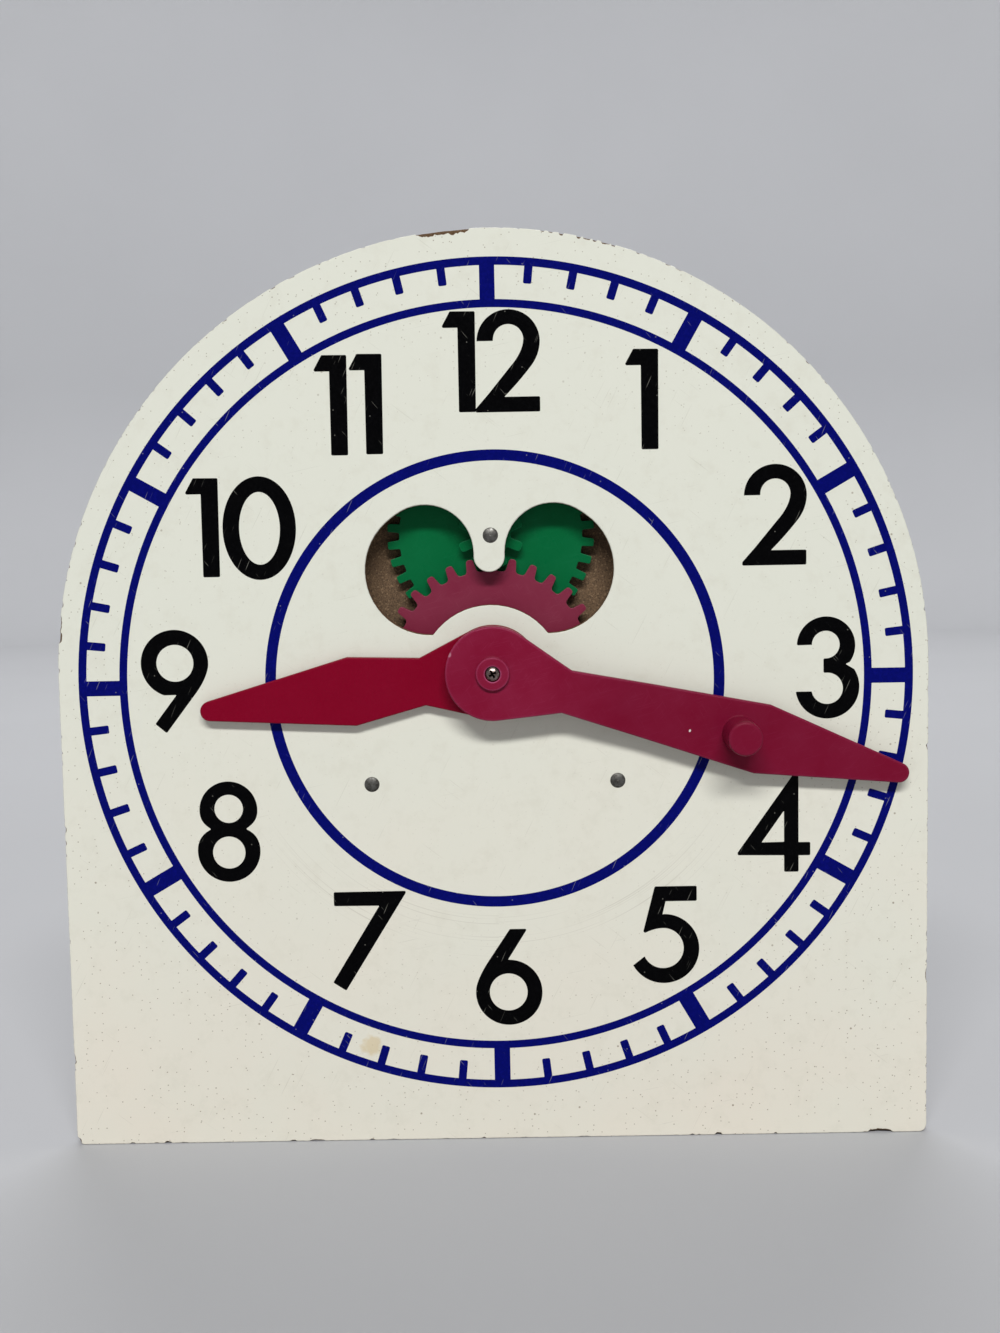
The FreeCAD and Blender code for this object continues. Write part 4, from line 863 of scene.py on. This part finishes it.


def worn_nickel(tree, spot):
    """Nickel plating, patchily tarnished, and near-black in the recess: dirt and painted shade."""
    tarnish = add(tree, "TexNoise", {"Vector": spot, "Scale": 1 / 0.9, "Detail": 4.0})
    patchy = add(tree, "MapRange", {"Value": tarnish, "From Min": 0.35, "From Max": 0.65})
    colour = add(tree, "MixRGB", {0: patchy, 1: linear("9A8C87"), 2: linear("57453F")})
    from_axis = add(tree, "VectorMath", {0: spot, 1: tuple(HUB / MM)}, operation="SUBTRACT")
    turned = add(tree, "VectorRotate", {"Vector": from_axis, "Angle": SCREW_TURN},
                 rotation_type="Y_AXIS")
    quarter = add(tree, "VectorMath", {0: turned}, operation="ABSOLUTE")
    axes = add(tree, "SeparateXYZ", {0: quarter}).outputs
    arms = []
    for along, beside in ("XZ", "ZX"):
        short = add(tree, "Math", {0: axes[along], 1: CROSS_HALF_LENGTH}, operation="LESS_THAN")
        thin = add(tree, "Math", {0: axes[beside], 1: CROSS_HALF_WIDTH}, operation="LESS_THAN")
        arms.append(add(tree, "Math", {0: short, 1: thin}, operation="MULTIPLY"))
    cross = add(tree, "Math", {0: arms[0], 1: arms[1]}, operation="MAXIMUM")
    # The cross recess is drawn near-black: dirt, and painted shade.
    colour = add(tree, "MixRGB", {0: cross, 1: colour, 2: linear("100C0B")})
    rough = add(tree, "MapRange", {"Value": tarnish, "From Min": 0.3, "From Max": 0.7,
                                   "To Min": 0.2, "To Max": 0.36})
    soft = rounded_outer_edge(tree, 0.1, 0.2)[1]
    dents = add(tree, "Bump", {"Height": tarnish, "Distance": 0.02 * MM, "Normal": soft})
    return {"Base Color": colour, "Roughness": rough, "Normal": dents}


screw = placed("hand_screw_as_driven", nodes["hand_screw"].data.copy())
screw.data.transform(Matrix.Translation(HUB) @ Matrix.Rotation(-SCREW_TURN, 4, "Y")
                     @ Matrix.Translation(-HUB))
screw.material_slots[0].material = new_material("worn_nickel_plate", worn_nickel, Metallic=1.0)
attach(screw, "minute")
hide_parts("hand_screw")

# ------------------------------------------------------------------------- floor, lamps and camera
# A pale seamless sheet curves up all round the clock. A long soft lamp lies high in front, a
# broad weak one shines on the back, and the pale room fills the shadows; the camera looks at the
# hub from a little above.

SHEET_MIDDLE, SHEET_RADIUS = Vector((0.0, -2.5)), 6.0       # in plan, metres
SWEEP_RADIUS, WALL_TOP = 0.6, 3.5       # of the curve up into the wall, and the wall's height
SWEEP_STEP = 6                          # degrees of that curve from ring to ring


def matt_paper(tree, spot):
    """Plain pale grey paper with the slightest cloudiness."""
    clouds = add(tree, "TexNoise", {"Vector": spot, "Scale": 1 / 400.0})
    return {"Base Color": add(tree, "MixRGB", {0: clouds, 1: linear("B4B5B8"),
                                               2: linear("BABBBE")})}


# The sheet is round in plan: the floor, then rings that curve up into the wall.
rings = [(SHEET_RADIUS - SWEEP_RADIUS * (1 - math.sin(math.radians(angle))),
          SWEEP_RADIUS * (1 - math.cos(math.radians(angle))))
         for angle in range(0, 91, SWEEP_STEP)]
rings.append((SHEET_RADIUS, WALL_TOP))
sheet = bmesh.new()
hoops = [[sheet.verts.new((*point, height))
          for point in arc(*SHEET_MIDDLE, reach, 0.0, 360.0)[:-1]] for reach, height in rings]
sheet.faces.new(hoops[0])
for low, high in zip(hoops, hoops[1:]):
    for side in zip(low, low[1:] + low[:1], high[1:] + high[:1], high):
        sheet.faces.new(side).smooth = True
backdrop = finished_piece("backdrop", sheet)
backdrop.data.materials.append(new_material("grey_paper", matt_paper, Roughness=0.9))

LAMP_AIM = Vector((0.0, 0.0, 0.18))     # the middle of the dial, metres


def soft_lamp(name, place, width, height, watts):
    """An oblong area lamp that shines at the middle of the dial; its sizes are in metres."""
    light = bpy.data.lights.new(name, "AREA")
    light.shape, light.size, light.size_y, light.energy = "RECTANGLE", width, height, watts
    lamp = placed(name, light)
    lamp.location = place
    lamp.rotation_euler = (LAMP_AIM - Vector(place)).to_track_quat("-Z", "Y").to_euler()


soft_lamp("softbox", (0.0, -5.7, 5.06), 5.1, 0.82, 556.0)
soft_lamp("rear_fill", (0.0, 2.4, 2.8), 2.6, 1.6, 62.0)

ROOM_WHITE, ROOM_STRENGTH = (1.0, 1.0, 1.0, 1.0), 0.05
room = bpy.data.worlds.new("pale_room")
room.use_nodes = True
room.node_tree.nodes["Background"].inputs["Color"].default_value = ROOM_WHITE
room.node_tree.nodes["Background"].inputs["Strength"].default_value = ROOM_STRENGTH
bpy.context.scene.world = room

CAMERA_PLACE, CAMERA_AIM = Vector((0.0064, -0.5959, 0.2317)), Vector((0.0027, -0.0032, 0.1807))
CAMERA_ROLL = math.radians(-1.03)
FOCAL_LENGTH, SENSOR_WIDTH = 43.21, 36.0            # mm
lens = bpy.data.cameras.new("camera")
lens.lens, lens.sensor_width = FOCAL_LENGTH, SENSOR_WIDTH
camera = placed("camera", lens)
camera.location = CAMERA_PLACE
turn = (CAMERA_AIM - CAMERA_PLACE).to_track_quat("-Z", "Y") @ Quaternion((0, 0, 1), CAMERA_ROLL)
camera.rotation_euler = turn.to_euler()
bpy.context.scene.camera = camera
bpy.context.scene.view_settings.view_transform = "Standard"
